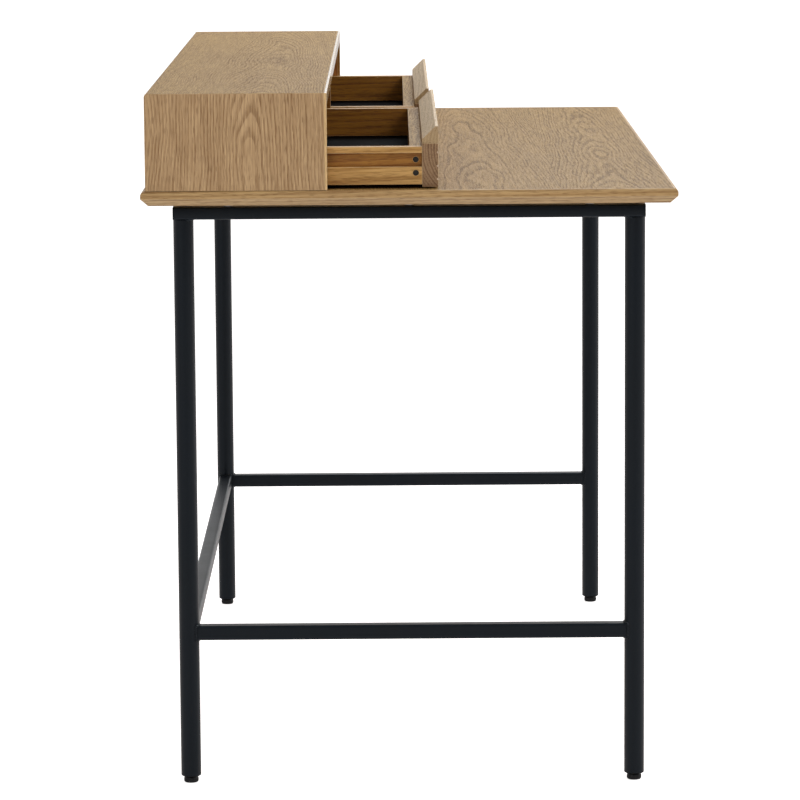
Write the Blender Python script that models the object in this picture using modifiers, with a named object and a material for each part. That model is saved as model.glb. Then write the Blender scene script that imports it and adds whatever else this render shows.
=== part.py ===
"""Writing desk: an oak slab on a black steel frame, with a low cabinet of two drawers at the rear.

Metres, +Z up. The origin is on the floor, under the middle of the desk. The user sits at -Y and
looks along +Y, so the left end of the desk is at -X. The drawers are modelled partly open.
"""

import math

import bmesh
import bpy
from mathutils import Vector

# Desktop slab
LENGTH = 1.300
DEPTH = 0.650
DESK_HEIGHT = 0.750
TOP_THICKNESS = 0.018
TOP_ARRIS = 0.005
TOP_ARRIS_STEPS = 4
UNDER_BEVEL = 0.009

# Cabinet on the slab
CABINET_HEIGHT = 0.118
CABINET_DEPTH = 0.220
CABINET_REAR_INSET = 0.006
CABINET_END_INSET = 0.003
PANEL = 0.016
BACK_THICKNESS = 0.012
BACK_RECESS = 0.002
DIVIDER_SETBACK = 0.005

# Drawer front: a grooved board with a lipping whose top is cut to a slope, as a finger pull
FRONT_THICKNESS = 0.0195
FRONT_LIFT = 0.002
FRONT_BOARD_HEIGHT = 0.053
FRONT_GROOVES = 3
FRONT_GROOVE_PITCH = 0.0162
FRONT_GROOVE_FIRST = 0.0095
FRONT_GROOVE_WIDTH = 0.0024
FRONT_GROOVE_DEPTH = 0.0014
LIPPING_BACK_HEIGHT = 0.005
LIPPING_RISE = 0.0155
LIPPING_LAND = 0.0035

# Drawer box
DRAWER_GAP = 0.0015
DRAWER_BACK_CLEARANCE = 0.006
SIDE_LIFT = 0.005
SIDE_HEIGHT = 0.046
SIDE_THICKNESS = 0.014
INNER_FRONT_THICKNESS = 0.015
BACK_BOARD_THICKNESS = 0.012
RUNNER_GROOVE_DEPTH = 0.0055
RUNNER_GROOVE_HEIGHT = 0.0166
RUNNER_GROOVE_BELOW_TOP = 0.0078
BOTTOM_THICKNESS = 0.005
BOTTOM_LIFT = 0.0035
BOTTOM_LET_IN = 0.006

# Drawer runners, screwed to the cabinet's sides and divider
RUNNER_SIDE_CLEARANCE = 0.001
RUNNER_HEIGHT_CLEARANCE = 0.0005
RUNNER_FRONT_CLEARANCE = 0.003

# How far each drawer stands open at rest
LEFT_OPEN = 0.1345
RIGHT_OPEN = 0.129

# Screws through the drawer sides into the inner front
SCREW_HEAD_RADIUS = 0.0036
SCREW_HEAD_DEPTH = 0.0022
SCREW_SHANK_RADIUS = 0.0019
SCREW_LENGTH = 0.025
SCREW_CLEARANCE = 0.0004
SCREW_LOW_HEIGHT = 0.0142
SCREW_SIDES = 16

# Steel frame
LEG_RADIUS = 0.0125
TUBE_WALL = 0.0015
LEG_INSET_END = 0.0836
LEG_INSET_SIDE = 0.0475
RAIL_WIDTH = 0.025
RAIL_HEIGHT = 0.015
STRETCHER = 0.018
STRETCHER_HEIGHT = 0.182
SPACER_HEIGHT = 0.0085
SPACER_RADIUS = 0.0057
SPACER_BORE = 0.003
SPACER_PITCH = 0.222
LEG_SIDES = 32

# Levelling feet and the plugs they screw into
FOOT_RADIUS = 0.0092
FOOT_DISC = 0.0072
FOOT_EDGE = 0.0008
STUD_RADIUS = 0.004
STUD_LENGTH = 0.022
INSERT_FLANGE = 0.0015
INSERT_FLANGE_INSET = 0.0012
INSERT_DEPTH = 0.014
STUD_CLEARANCE = 0.0003

# Clearances and small edges
GAP = 0.0003
WELD_GAP = 0.0005
ARRIS = 0.0006
MERGE = 0.00001

# Places that follow from the sizes above
SLAB_BOTTOM = DESK_HEIGHT - TOP_THICKNESS
CABINET_TOP = DESK_HEIGHT + CABINET_HEIGHT
CABINET_END = LENGTH / 2 - CABINET_END_INSET
CABINET_REAR = DEPTH / 2 - CABINET_REAR_INSET
CABINET_FRONT = CABINET_REAR - CABINET_DEPTH
BACK_FACE = CABINET_REAR - BACK_RECESS - BACK_THICKNESS
BAY_OUTER = CABINET_END - PANEL
BAY_INNER = PANEL / 2
LEG_X = LENGTH / 2 - LEG_INSET_END
LEG_Y = DEPTH / 2 - LEG_INSET_SIDE
RAIL_TOP = SLAB_BOTTOM - SPACER_HEIGHT
RAIL_BOTTOM = RAIL_TOP - RAIL_HEIGHT
LEG_TOP = RAIL_BOTTOM - GAP
FLANGE_BOTTOM = FOOT_DISC + GAP
LEG_BOTTOM = FLANGE_BOTTOM + INSERT_FLANGE + GAP
MITRE_GAP = GAP * math.sqrt(2)

# Heights and lengths inside the drawer bays
SIDE_BOTTOM = DESK_HEIGHT + SIDE_LIFT
SIDE_TOP = SIDE_BOTTOM + SIDE_HEIGHT
GROOVE_TOP = SIDE_TOP - RUNNER_GROOVE_BELOW_TOP
GROOVE_BOTTOM = GROOVE_TOP - RUNNER_GROOVE_HEIGHT
BOTTOM_UNDERSIDE = SIDE_BOTTOM + BOTTOM_LIFT
BOTTOM_TOPSIDE = BOTTOM_UNDERSIDE + BOTTOM_THICKNESS
FRONT_BOTTOM = DESK_HEIGHT + FRONT_LIFT
FRONT_SEAM = FRONT_BOTTOM + FRONT_BOARD_HEIGHT
DRAWER_LENGTH = BACK_FACE - DRAWER_BACK_CLEARANCE - CABINET_FRONT
BOX_LENGTH = DRAWER_LENGTH - FRONT_THICKNESS

COLLECTION = "writing_desk"
GUIDES = "cutters"
ALONG_X = (math.pi / 2, 0.0, math.pi / 2)
ALONG_Y = (math.pi / 2, 0.0, 0.0)


def clear_scene():
    """Remove every object, so that the script can be run again."""
    for old in list(bpy.data.objects):
        bpy.data.objects.remove(old, do_unlink=True)


def new_collection(name):
    """Make a collection under the scene's own."""
    group = bpy.data.collections.new(name)
    bpy.context.scene.collection.children.link(group)
    return group


def new_material(name, colour, roughness, metallic=0.0):
    """Make a Principled material with one colour."""
    material = bpy.data.materials.new(name)
    material.use_nodes = True
    shader = material.node_tree.nodes["Principled BSDF"]
    shader.inputs["Base Color"].default_value = (*colour, 1.0)
    shader.inputs["Roughness"].default_value = roughness
    shader.inputs["Metallic"].default_value = metallic
    return material


def place(name, mesh, group, material, location=(0.0, 0.0, 0.0), parent=None):
    """Make an object from a mesh, at a location given in world coordinates."""
    item = bpy.data.objects.new(name, mesh)
    group.objects.link(item)
    if material is not None:
        item.data.materials.append(material)
    item.location = location
    if parent is not None:
        item.parent = parent
        item.location = Vector(location) - parent.location
    return item


def edges_near(bm, test):
    """List the edges whose two ends both pass a test on their coordinates."""
    return [e for e in bm.edges if all(test(v.co) for v in e.verts)]


def board(name, low, high, group, material, parent=None, arris=ARRIS):
    """Make a board between two corners, with every edge eased by a small bevel."""
    low, high = Vector(low), Vector(high)
    bm = bmesh.new()
    bmesh.ops.create_cube(bm, size=1.0)
    bmesh.ops.scale(bm, vec=high - low, verts=bm.verts)
    mesh = bpy.data.meshes.new(name)
    bm.to_mesh(mesh)
    bm.free()
    item = place(name, mesh, group, material, (low + high) / 2, parent)
    if arris > 0.0:
        ease = item.modifiers.new("eased edges", "BEVEL")
        ease.width = arris
        ease.segments = 1
    return item


def extrusion(name, loops, length, turn, centre, group, material, parent=None):
    """Extrude flat closed loops by a length: the first is the outline, the others are holes in it.

    The loops are in (Y, Z) with ALONG_X and in (X, Z) with ALONG_Y, about the given centre.
    """
    outline = bpy.data.curves.new(name, "CURVE")
    outline.dimensions = "2D"
    outline.fill_mode = "BOTH"
    outline.extrude = length / 2
    for loop in loops:
        spline = outline.splines.new("POLY")
        spline.points.add(len(loop) - 1)
        for point, (u, v) in zip(spline.points, loop):
            point.co = (u, v, 0.0, 1.0)
        spline.use_cyclic_u = True
    drawn = bpy.data.objects.new(name, outline)
    group.objects.link(drawn)
    drawn.rotation_euler = turn
    evaluated = drawn.evaluated_get(bpy.context.evaluated_depsgraph_get())
    mesh = bpy.data.meshes.new_from_object(evaluated)
    bpy.data.objects.remove(drawn)
    bpy.data.curves.remove(outline)
    bm = bmesh.new()
    bm.from_mesh(mesh)
    bmesh.ops.remove_doubles(bm, verts=bm.verts, dist=MERGE)
    bmesh.ops.recalc_face_normals(bm, faces=bm.faces)
    bm.to_mesh(mesh)
    bm.free()
    mesh.name = name
    item = place(name, mesh, group, material, centre, parent)
    item.rotation_euler = turn
    return item


def rectangle(width, height):
    """List the corners of a rectangle about the origin."""
    u, v = width / 2, height / 2
    return [(-u, -v), (u, -v), (u, v), (-u, v)]


def box_tube(name, width, height, length, turn, centre, group, material):
    """Make a rectangular tube, open at both ends."""
    hollow = rectangle(width - 2 * TUBE_WALL, height - 2 * TUBE_WALL)
    return extrusion(name, [rectangle(width, height), hollow], length, turn, centre, group, material)


def turned(name, profile, sides, location, group, material, parent=None, closed=False):
    """Turn a profile of (radius, height) points about Z; closed joins its last point to its first."""
    bm = bmesh.new()
    points = [bm.verts.new((radius, 0.0, height)) for radius, height in profile]
    for start, end in zip(points, points[1:]):
        bm.edges.new((start, end))
    if closed:
        bm.edges.new((points[-1], points[0]))
    mesh = bpy.data.meshes.new(name)
    bm.to_mesh(mesh)
    bm.free()
    item = place(name, mesh, group, material, location, parent)
    turn = item.modifiers.new("turning", "SCREW")
    turn.steps = sides
    turn.render_steps = sides
    turn.use_merge_vertices = True
    turn.merge_threshold = MERGE
    turn.use_smooth_shade = True
    return item


def cut(item, cutters):
    """Cut an object by each of the cutters."""
    for cutter in cutters:
        cutter.hide_render = True
        cutter.display_type = "WIRE"
        boolean = item.modifiers.new(cutter.name, "BOOLEAN")
        boolean.operation = "DIFFERENCE"
        boolean.solver = "EXACT"
        boolean.object = cutter


def desktop(group, material):
    """Make the slab, with a rounded top arris and a wide bevel under its edge."""
    bm = bmesh.new()
    bmesh.ops.create_cube(bm, size=1.0)
    bmesh.ops.scale(bm, vec=(LENGTH, DEPTH, TOP_THICKNESS), verts=bm.verts)
    half = TOP_THICKNESS / 2
    under = edges_near(bm, lambda co: co.z < -half + MERGE)
    bmesh.ops.bevel(bm, geom=under, offset=UNDER_BEVEL, segments=1, profile=0.5, affect="EDGES")
    upper = edges_near(bm, lambda co: co.z > half - MERGE)
    bmesh.ops.bevel(
        bm, geom=upper, offset=TOP_ARRIS, segments=TOP_ARRIS_STEPS, profile=0.5, affect="EDGES"
    )
    mesh = bpy.data.meshes.new("desktop")
    bm.to_mesh(mesh)
    bm.free()
    return place("desktop", mesh, group, material, (0.0, 0.0, DESK_HEIGHT - half))


def cabinet(group, oak):
    """Make the cabinet's mitred shell, its back and its divider."""
    foot = DESK_HEIGHT + GAP
    soffit = CABINET_TOP - PANEL
    middle = (CABINET_FRONT + CABINET_REAR) / 2
    for side, name in ((-1, "cabinet_left_side"), (1, "cabinet_right_side")):
        outline = [
            (side * CABINET_END, foot),
            (side * BAY_OUTER, foot),
            (side * BAY_OUTER, soffit - MITRE_GAP),
            (side * CABINET_END, CABINET_TOP - MITRE_GAP),
        ]
        extrusion(name, [outline], CABINET_DEPTH, ALONG_Y, (0.0, middle, 0.0), group, oak)
    outline = [
        (-BAY_OUTER, soffit),
        (BAY_OUTER, soffit),
        (CABINET_END, CABINET_TOP),
        (-CABINET_END, CABINET_TOP),
    ]
    extrusion("cabinet_top", [outline], CABINET_DEPTH, ALONG_Y, (0.0, middle, 0.0), group, oak)
    back_x = BAY_OUTER - GAP
    board(
        "cabinet_back",
        (-back_x, BACK_FACE, foot),
        (back_x, BACK_FACE + BACK_THICKNESS, soffit - GAP),
        group,
        oak,
    )
    board(
        "cabinet_divider",
        (-BAY_INNER, CABINET_FRONT + DIVIDER_SETBACK, foot),
        (BAY_INNER, BACK_FACE - GAP, soffit - GAP),
        group,
        oak,
    )


def runner(name, face, direction, group, oak):
    """Make a runner on a panel's face; direction is +1 where it stands out towards +X."""
    reach = DRAWER_GAP + RUNNER_GROOVE_DEPTH - RUNNER_SIDE_CLEARANCE
    near, far = sorted((face + direction * GAP, face + direction * reach))
    front = CABINET_FRONT + FRONT_THICKNESS + RUNNER_FRONT_CLEARANCE
    low = (near, front, GROOVE_BOTTOM + RUNNER_HEIGHT_CLEARANCE)
    high = (far, BACK_FACE - GAP, GROOVE_TOP - RUNNER_HEIGHT_CLEARANCE)
    board(name, low, high, group, oak)


def side_board(name, x_out, inward, y_front, group, oak, parent):
    """Make a drawer side, grooved outside for its runner and inside for the drawer's bottom."""
    x_in = x_out + inward * SIDE_THICKNESS
    x_groove = x_out + inward * RUNNER_GROOVE_DEPTH
    x_slot = x_in - inward * (BOTTOM_LET_IN + GAP)
    outline = [
        (x_out, SIDE_BOTTOM),
        (x_in, SIDE_BOTTOM),
        (x_in, BOTTOM_UNDERSIDE - GAP),
        (x_slot, BOTTOM_UNDERSIDE - GAP),
        (x_slot, BOTTOM_TOPSIDE + GAP),
        (x_in, BOTTOM_TOPSIDE + GAP),
        (x_in, SIDE_TOP),
        (x_out, SIDE_TOP),
        (x_out, GROOVE_TOP),
        (x_groove, GROOVE_TOP),
        (x_groove, GROOVE_BOTTOM),
        (x_out, GROOVE_BOTTOM),
    ]
    centre = (0.0, y_front + BOX_LENGTH / 2, 0.0)
    return extrusion(name, [outline], BOX_LENGTH - GAP, ALONG_Y, centre, group, oak, parent)


def front_outline(y_face):
    """List the (Y, Z) corners of the front board, with its finger grooves in the face."""
    y_back = y_face + FRONT_THICKNESS
    top = FRONT_SEAM - GAP
    outline = [(y_face, FRONT_BOTTOM), (y_back, FRONT_BOTTOM), (y_back, top), (y_face, top)]
    half = FRONT_GROOVE_WIDTH / 2
    for turn in reversed(range(FRONT_GROOVES)):
        centre = FRONT_BOTTOM + FRONT_GROOVE_FIRST + turn * FRONT_GROOVE_PITCH
        outline.append((y_face, centre + half))
        outline.append((y_face + FRONT_GROOVE_DEPTH, centre))
        outline.append((y_face, centre - half))
    return outline


def lipping_outline(y_face):
    """List the (Y, Z) corners of the lipping, which rises from the board's back to its face."""
    y_back = y_face + FRONT_THICKNESS
    tip = FRONT_SEAM + LIPPING_BACK_HEIGHT + LIPPING_RISE
    return [
        (y_face, FRONT_SEAM),
        (y_back, FRONT_SEAM),
        (y_back, FRONT_SEAM + LIPPING_BACK_HEIGHT),
        (y_face + LIPPING_LAND, tip),
        (y_face, tip),
    ]


def inner_front_outline(y_near):
    """List the (Y, Z) corners of the inner front, grooved at the back for the drawer's bottom."""
    y_far = y_near + INNER_FRONT_THICKNESS
    y_slot = y_far - BOTTOM_LET_IN - GAP
    return [
        (y_near, SIDE_BOTTOM),
        (y_far, SIDE_BOTTOM),
        (y_far, BOTTOM_UNDERSIDE - GAP),
        (y_slot, BOTTOM_UNDERSIDE - GAP),
        (y_slot, BOTTOM_TOPSIDE + GAP),
        (y_far, BOTTOM_TOPSIDE + GAP),
        (y_far, SIDE_TOP),
        (y_near, SIDE_TOP),
    ]


def screw_profile(clearance):
    """List the (radius, height) points of a countersunk screw along Z, its head at the top."""
    head = SCREW_HEAD_RADIUS + clearance
    shank = SCREW_SHANK_RADIUS + clearance
    neck = -SCREW_HEAD_DEPTH - clearance
    end = -SCREW_LENGTH - clearance
    return [(0.0, clearance), (head, clearance), (shank, neck), (shank, end), (0.0, end)]


def drawer_screw(name, x_face, inward, y, z, groups, materials, parent):
    """Make one screw that enters a drawer side at x_face, and the cutter for its hole."""
    turn = (0.0, -inward * math.pi / 2, 0.0)
    spot = (x_face, y, z)
    steel = materials["screw"]
    screw = turned(name, screw_profile(0.0), SCREW_SIDES, spot, groups[0], steel, parent)
    loose = screw_profile(SCREW_CLEARANCE)
    hole = turned(name + "_hole", loose, SCREW_SIDES, spot, groups[1], None, parent)
    screw.rotation_euler = turn
    hole.rotation_euler = turn
    return hole


def drawer(side, label, opened, groups, materials):
    """Make one drawer; side is -1 for the left bay and +1 for the right, opened is its travel."""
    group = groups[0]
    oak = materials["oak"]
    x_outer = side * (BAY_OUTER - DRAWER_GAP)
    x_inner = side * (BAY_INNER + DRAWER_GAP)
    width = abs(x_outer - x_inner)
    centre_x = (x_outer + x_inner) / 2
    y_face = CABINET_FRONT - opened
    y_back = y_face + FRONT_THICKNESS
    slide = bpy.data.objects.new(label + "_drawer_slide", None)
    group.objects.link(slide)
    slide.location = (centre_x, y_face, SIDE_BOTTOM)

    middle = (centre_x, 0.0, 0.0)
    for name, outline, finish in (
        ("_drawer_front", front_outline(y_face), materials["front"]),
        ("_drawer_lipping", lipping_outline(y_face), materials["lipping"]),
    ):
        extrusion(label + name, [outline], width, ALONG_X, middle, group, finish, slide)
    sides = {}
    for place_name, x_out in (("outer", x_outer), ("inner", x_inner)):
        inward = math.copysign(1.0, centre_x - x_out)
        name = f"{label}_drawer_{place_name}_side"
        sides[place_name] = (side_board(name, x_out, inward, y_back, group, oak, slide), x_out, inward)

    inside = width - 2 * SIDE_THICKNESS
    between = inside - 2 * GAP
    y_inner = y_back + GAP
    name = label + "_drawer_inner_front"
    outline = inner_front_outline(y_inner)
    inner_front = extrusion(name, [outline], between, ALONG_X, middle, group, oak, slide)
    y_end = y_back + BOX_LENGTH - GAP
    half = between / 2
    board(
        label + "_drawer_back",
        (centre_x - half, y_end - BACK_BOARD_THICKNESS, BOTTOM_TOPSIDE + GAP),
        (centre_x + half, y_end, SIDE_TOP),
        group,
        oak,
        slide,
    )
    half = inside / 2 + BOTTOM_LET_IN
    board(
        label + "_drawer_bottom",
        (centre_x - half, y_inner + INNER_FRONT_THICKNESS - BOTTOM_LET_IN, BOTTOM_UNDERSIDE),
        (centre_x + half, y_end, BOTTOM_TOPSIDE),
        group,
        materials["bottom"],
        slide,
        arris=0.0,
    )

    screw_y = y_inner + INNER_FRONT_THICKNESS / 2
    groove_z = (GROOVE_TOP + GROOVE_BOTTOM) / 2
    for place_name, (side_item, x_out, inward) in sides.items():
        holes = []
        upper = ("upper", groove_z, RUNNER_GROOVE_DEPTH)
        lower = ("lower", SIDE_BOTTOM + SCREW_LOW_HEIGHT, 0.0)
        for level, z, sunk in (upper, lower):
            name = f"{label}_{place_name}_{level}_screw"
            x_face = x_out + inward * (sunk + GAP)
            holes.append(drawer_screw(name, x_face, inward, screw_y, z, groups, materials, slide))
        cut(side_item, holes)
        cut(inner_front, holes)


def ring_profile(inner, outer, low, high):
    """List the closed (radius, height) profile of a plain ring or tube."""
    return [(inner, high), (outer, high), (outer, low), (inner, low)]


def leg_set(side_x, side_y, label, groups, materials):
    """Make one leg with the insert in its foot and the levelling foot; return the leg's cutter."""
    group = groups[0]
    x, y = side_x * LEG_X, side_y * LEG_Y
    bore = LEG_RADIUS - TUBE_WALL
    profile = ring_profile(bore, LEG_RADIUS, LEG_BOTTOM, LEG_TOP)
    turned(f"leg_{label}", profile, LEG_SIDES, (x, y, 0.0), group, materials["steel"], closed=True)

    plug = bore - GAP
    hole = STUD_RADIUS + STUD_CLEARANCE
    flange = LEG_RADIUS - INSERT_FLANGE_INSET
    seat = LEG_BOTTOM - GAP
    profile = [
        (hole, seat + INSERT_DEPTH),
        (plug, seat + INSERT_DEPTH),
        (plug, seat),
        (flange, seat),
        (flange, FLANGE_BOTTOM),
        (hole, FLANGE_BOTTOM),
    ]
    nylon = materials["plastic"]
    name = f"leg_insert_{label}"
    turned(name, profile, LEG_SIDES, (x, y, 0.0), group, nylon, closed=True)

    slide = bpy.data.objects.new(f"foot_slide_{label}", None)
    group.objects.link(slide)
    slide.location = (x, y, 0.0)
    profile = [
        (0.0, FOOT_DISC + STUD_LENGTH),
        (STUD_RADIUS, FOOT_DISC + STUD_LENGTH),
        (STUD_RADIUS, FOOT_DISC),
        (FOOT_RADIUS - FOOT_EDGE, FOOT_DISC),
        (FOOT_RADIUS, FOOT_DISC - FOOT_EDGE),
        (FOOT_RADIUS, FOOT_EDGE),
        (FOOT_RADIUS - FOOT_EDGE, 0.0),
        (0.0, 0.0),
    ]
    turned(f"foot_{label}", profile, LEG_SIDES, (x, y, 0.0), group, nylon, slide)

    radius = LEG_RADIUS + WELD_GAP
    top = STRETCHER_HEIGHT + 2 * STRETCHER
    low = STRETCHER_HEIGHT - STRETCHER
    profile = [(0.0, top), (radius, top), (radius, low), (0.0, low)]
    return turned(f"leg_cutter_{label}", profile, LEG_SIDES, (x, y, 0.0), groups[1], None)


def frame(groups, materials):
    """Make the welded frame: legs, rails under the slab, stretchers and the spacers on the rails."""
    group = groups[0]
    steel = materials["steel"]
    copes = {}
    for side_x, end in ((-1, "left"), (1, "right")):
        for side_y, row in ((-1, "front"), (1, "rear")):
            copes[end, row] = leg_set(side_x, side_y, f"{row}_{end}", groups, materials)

    rail_z = (RAIL_TOP + RAIL_BOTTOM) / 2
    stretcher_z = STRETCHER_HEIGHT + STRETCHER / 2
    end_length = 2 * (LEG_Y + LEG_RADIUS)
    long_length = 2 * (LEG_X - RAIL_WIDTH / 2 - GAP)
    clear = STRETCHER + 2 * GAP
    blocks = []
    for side, end in ((-1, "left"), (1, "right")):
        x = side * LEG_X
        name = f"end_rail_{end}"
        box_tube(name, RAIL_WIDTH, RAIL_HEIGHT, end_length, ALONG_Y, (x, 0.0, rail_z), group, steel)
        spot = (x, 0.0, stretcher_z)
        name = f"end_stretcher_{end}"
        item = box_tube(name, STRETCHER, STRETCHER, 2 * LEG_Y, ALONG_Y, spot, group, steel)
        cut(item, [copes[end, "front"], copes[end, "rear"]])
        low = (x - clear / 2, -LEG_Y, stretcher_z - clear)
        high = (x + clear / 2, LEG_Y, stretcher_z + clear)
        blocks.append(board(f"stretcher_cutter_{end}", low, high, groups[1], None, arris=0.0))
        for step, place_name in ((-1, "front"), (0, "middle"), (1, "rear")):
            profile = ring_profile(SPACER_BORE, SPACER_RADIUS, RAIL_TOP + GAP, SLAB_BOTTOM - GAP)
            spot = (x, step * SPACER_PITCH, 0.0)
            name = f"spacer_{end}_{place_name}"
            turned(name, profile, SCREW_SIDES, spot, group, materials["spacer"], closed=True)
    for side, row in ((-1, "front"), (1, "rear")):
        spot = (0.0, side * LEG_Y, rail_z)
        box_tube(f"long_rail_{row}", RAIL_WIDTH, RAIL_HEIGHT, long_length, ALONG_X, spot, group, steel)
    spot = (0.0, LEG_Y, stretcher_z)
    item = box_tube("rear_stretcher", STRETCHER, STRETCHER, 2 * LEG_X, ALONG_X, spot, group, steel)
    cut(item, [copes["left", "rear"], copes["right", "rear"], *blocks])


def main():
    """Build the whole desk."""
    clear_scene()
    groups = (new_collection(COLLECTION), new_collection(GUIDES))
    materials = {
        "oak": new_material("oak", (0.42, 0.28, 0.15), 0.55),
        "front": new_material("oak_front", (0.36, 0.24, 0.13), 0.6),
        "lipping": new_material("oak_lipping", (0.55, 0.42, 0.27), 0.55),
        "bottom": new_material("black_board", (0.006, 0.006, 0.006), 0.6),
        "steel": new_material("black_steel", (0.012, 0.013, 0.016), 0.45, 0.3),
        "spacer": new_material("zinc_spacer", (0.55, 0.55, 0.55), 0.35, 1.0),
        "plastic": new_material("black_plastic", (0.008, 0.008, 0.009), 0.5),
        "screw": new_material("black_screw", (0.01, 0.01, 0.01), 0.4, 0.8),
    }
    desktop(groups[0], materials["oak"])
    cabinet(groups[0], materials["oak"])
    runner("runner_left_outer", -BAY_OUTER, 1, groups[0], materials["oak"])
    runner("runner_left_inner", -BAY_INNER, -1, groups[0], materials["oak"])
    runner("runner_right_inner", BAY_INNER, 1, groups[0], materials["oak"])
    runner("runner_right_outer", BAY_OUTER, -1, groups[0], materials["oak"])
    drawer(-1, "left", LEFT_OPEN, groups, materials)
    drawer(1, "right", RIGHT_OPEN, groups, materials)
    frame(groups, materials)


main()
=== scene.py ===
"""Looks of a writing desk: an oak slab with a low cabinet and two drawers, on a black steel frame.

Metres, +Z up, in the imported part's own frame: the origin is on the floor under the middle of the
desk, the user sits at -Y, and the left end of the desk is at -X.
"""

import logging
import math
from dataclasses import dataclass, field
from enum import Enum
from typing import Any, Callable, Iterable, Sequence

import bmesh
import bpy
from mathutils import Euler, Matrix, Vector


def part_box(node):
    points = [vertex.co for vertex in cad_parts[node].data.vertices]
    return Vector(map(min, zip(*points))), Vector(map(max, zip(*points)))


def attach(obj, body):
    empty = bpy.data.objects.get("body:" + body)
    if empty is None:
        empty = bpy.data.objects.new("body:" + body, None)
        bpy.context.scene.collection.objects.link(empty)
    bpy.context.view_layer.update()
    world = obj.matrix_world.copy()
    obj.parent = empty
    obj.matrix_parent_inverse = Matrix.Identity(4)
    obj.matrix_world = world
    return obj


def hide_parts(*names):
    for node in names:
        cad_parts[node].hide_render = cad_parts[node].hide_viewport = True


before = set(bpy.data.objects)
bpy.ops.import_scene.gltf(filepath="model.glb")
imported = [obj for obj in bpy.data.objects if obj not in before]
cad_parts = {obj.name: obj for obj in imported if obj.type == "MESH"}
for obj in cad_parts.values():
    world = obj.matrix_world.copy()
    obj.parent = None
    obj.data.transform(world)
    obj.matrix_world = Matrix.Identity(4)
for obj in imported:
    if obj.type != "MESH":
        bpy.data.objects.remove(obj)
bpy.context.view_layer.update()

Colour = tuple[float, float, float]
Point = tuple[float, float]
Place = tuple[float, float, float]
Sockets = dict[str, bpy.types.NodeSocket]

DISPLAY_GAMMA = 2.2
MERGE = 0.00001
SHARP = math.radians(30)
ARRIS_ATTRIBUTE = "arris"
# Face attribute: how much painted shade, or painted bounced light, a face's colour takes
PAINTED_LIGHT_ATTRIBUTE = "inside"
BEAD_ATTRIBUTE = "bead_radius"
COAT_ROUGHNESS = 0.12
NARROW_FACE = 0.0009
SEED = 7

# The waves per metre along, across and out from the fibres, and the detail, of each pattern in oak.
OAK_WAVES = {
    "slow": ((1.0, 9.0, 9.0), 1.0),
    "bend": ((3.0, 34.0, 34.0), 1.0),
    "ripple": ((14.0, 150.0, 150.0), 1.0),
    "fibre": ((18.0, 850.0, 850.0), 2.0),
    "streak": ((26.0, 500.0, 500.0), 1.0),
    "band": ((8.0, 110.0, 110.0), 1.0),
    "pore": ((85.0, 1500.0, 1500.0), 0.0),
    "cloud": ((3.0, 14.0, 14.0), 1.0),
}

log = logging.getLogger("writing_desk")


# ---------------------------------------------------------------- node trees


def linear(colour: Colour) -> tuple[float, float, float, float]:
    """Turn a display colour, 0 to 1, into the shader's linear colour with full alpha."""
    return (*(value**DISPLAY_GAMMA for value in colour), 1.0)


@dataclass
class Tree:
    """A node tree that is written by adding nodes whose inputs are values or other sockets."""

    tree: bpy.types.NodeTree

    def add(self, kind: str, inputs: dict[Any, Any] | None = None, **settings: Any) -> bpy.types.Node:
        """Add a node.

        Args:
            kind: The node's type name.
            inputs: Values or sockets for the node's inputs, by name or number.
            settings: The node's own properties.

        Returns:
            The new node.
        """
        node = self.tree.nodes.new(kind)
        for name, value in settings.items():
            setattr(node, name, value)
        for name, value in (inputs or {}).items():
            self.feed(node.inputs[name], value)
        return node

    def feed(self, socket: bpy.types.NodeSocket, value: Any) -> None:
        """Link a socket to another one, or set it to a plain value."""
        if isinstance(value, bpy.types.NodeSocket):
            self.tree.links.new(value, socket)
        else:
            socket.default_value = value

    def math(self, operation: str, *values: Any) -> bpy.types.NodeSocket:
        """Add a math node and return its result."""
        kind = "ShaderNodeMath"
        return self.add(kind, dict(enumerate(values)), operation=operation).outputs[0]

    def vector(self, operation: str, *values: Any, out: str = "Vector") -> bpy.types.NodeSocket:
        """Add a vector math node and return one of its outputs."""
        kind = "ShaderNodeVectorMath"
        return self.add(kind, dict(enumerate(values)), operation=operation).outputs[out]

    def ease(self, value: Any, low: float, high: float, start: Any, end: Any) -> bpy.types.NodeSocket:
        """Map a value from low..high to start..end along a smooth step."""
        ranges = {"Value": value, "From Min": low, "From Max": high, "To Min": start, "To Max": end}
        kind = "ShaderNodeMapRange"
        return self.add(kind, ranges, interpolation_type="SMOOTHSTEP").outputs[0]

    def blend(self, factor: Any, first: Any, second: Any, mode: str = "MIX") -> bpy.types.NodeSocket:
        """Mix two colours and return the result."""
        inputs = {0: factor, 6: first, 7: second}
        return self.add("ShaderNodeMix", inputs, data_type="RGBA", blend_type=mode).outputs[2]

    def noise(self, vector: Any, stretch: Place, detail: float = 2.0) -> bpy.types.NodeSocket:
        """Add noise with its own number of waves per metre along each axis, and return its value."""
        scaled = self.vector("MULTIPLY", vector, stretch)
        inputs = {"Vector": scaled, "Scale": 1.0, "Detail": detail, "Roughness": 0.55}
        return self.add("ShaderNodeTexNoise", inputs).outputs[0]

    def group(self, group: bpy.types.NodeTree, inputs: dict[str, Any]) -> bpy.types.Node:
        """Place a shader group, with values or sockets for its inputs."""
        return self.add("ShaderNodeGroup", inputs, node_tree=group)


Group = tuple[Tree, Sockets, bpy.types.Node]


class Kind(Enum):
    """The socket types of a group's interface."""

    NUMBER = "NodeSocketFloat"
    WHOLE = "NodeSocketInt"
    PLACE = "NodeSocketVector"
    COLOUR = "NodeSocketColor"
    MESH = "NodeSocketGeometry"
    FINISH = "NodeSocketMaterial"


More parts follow.
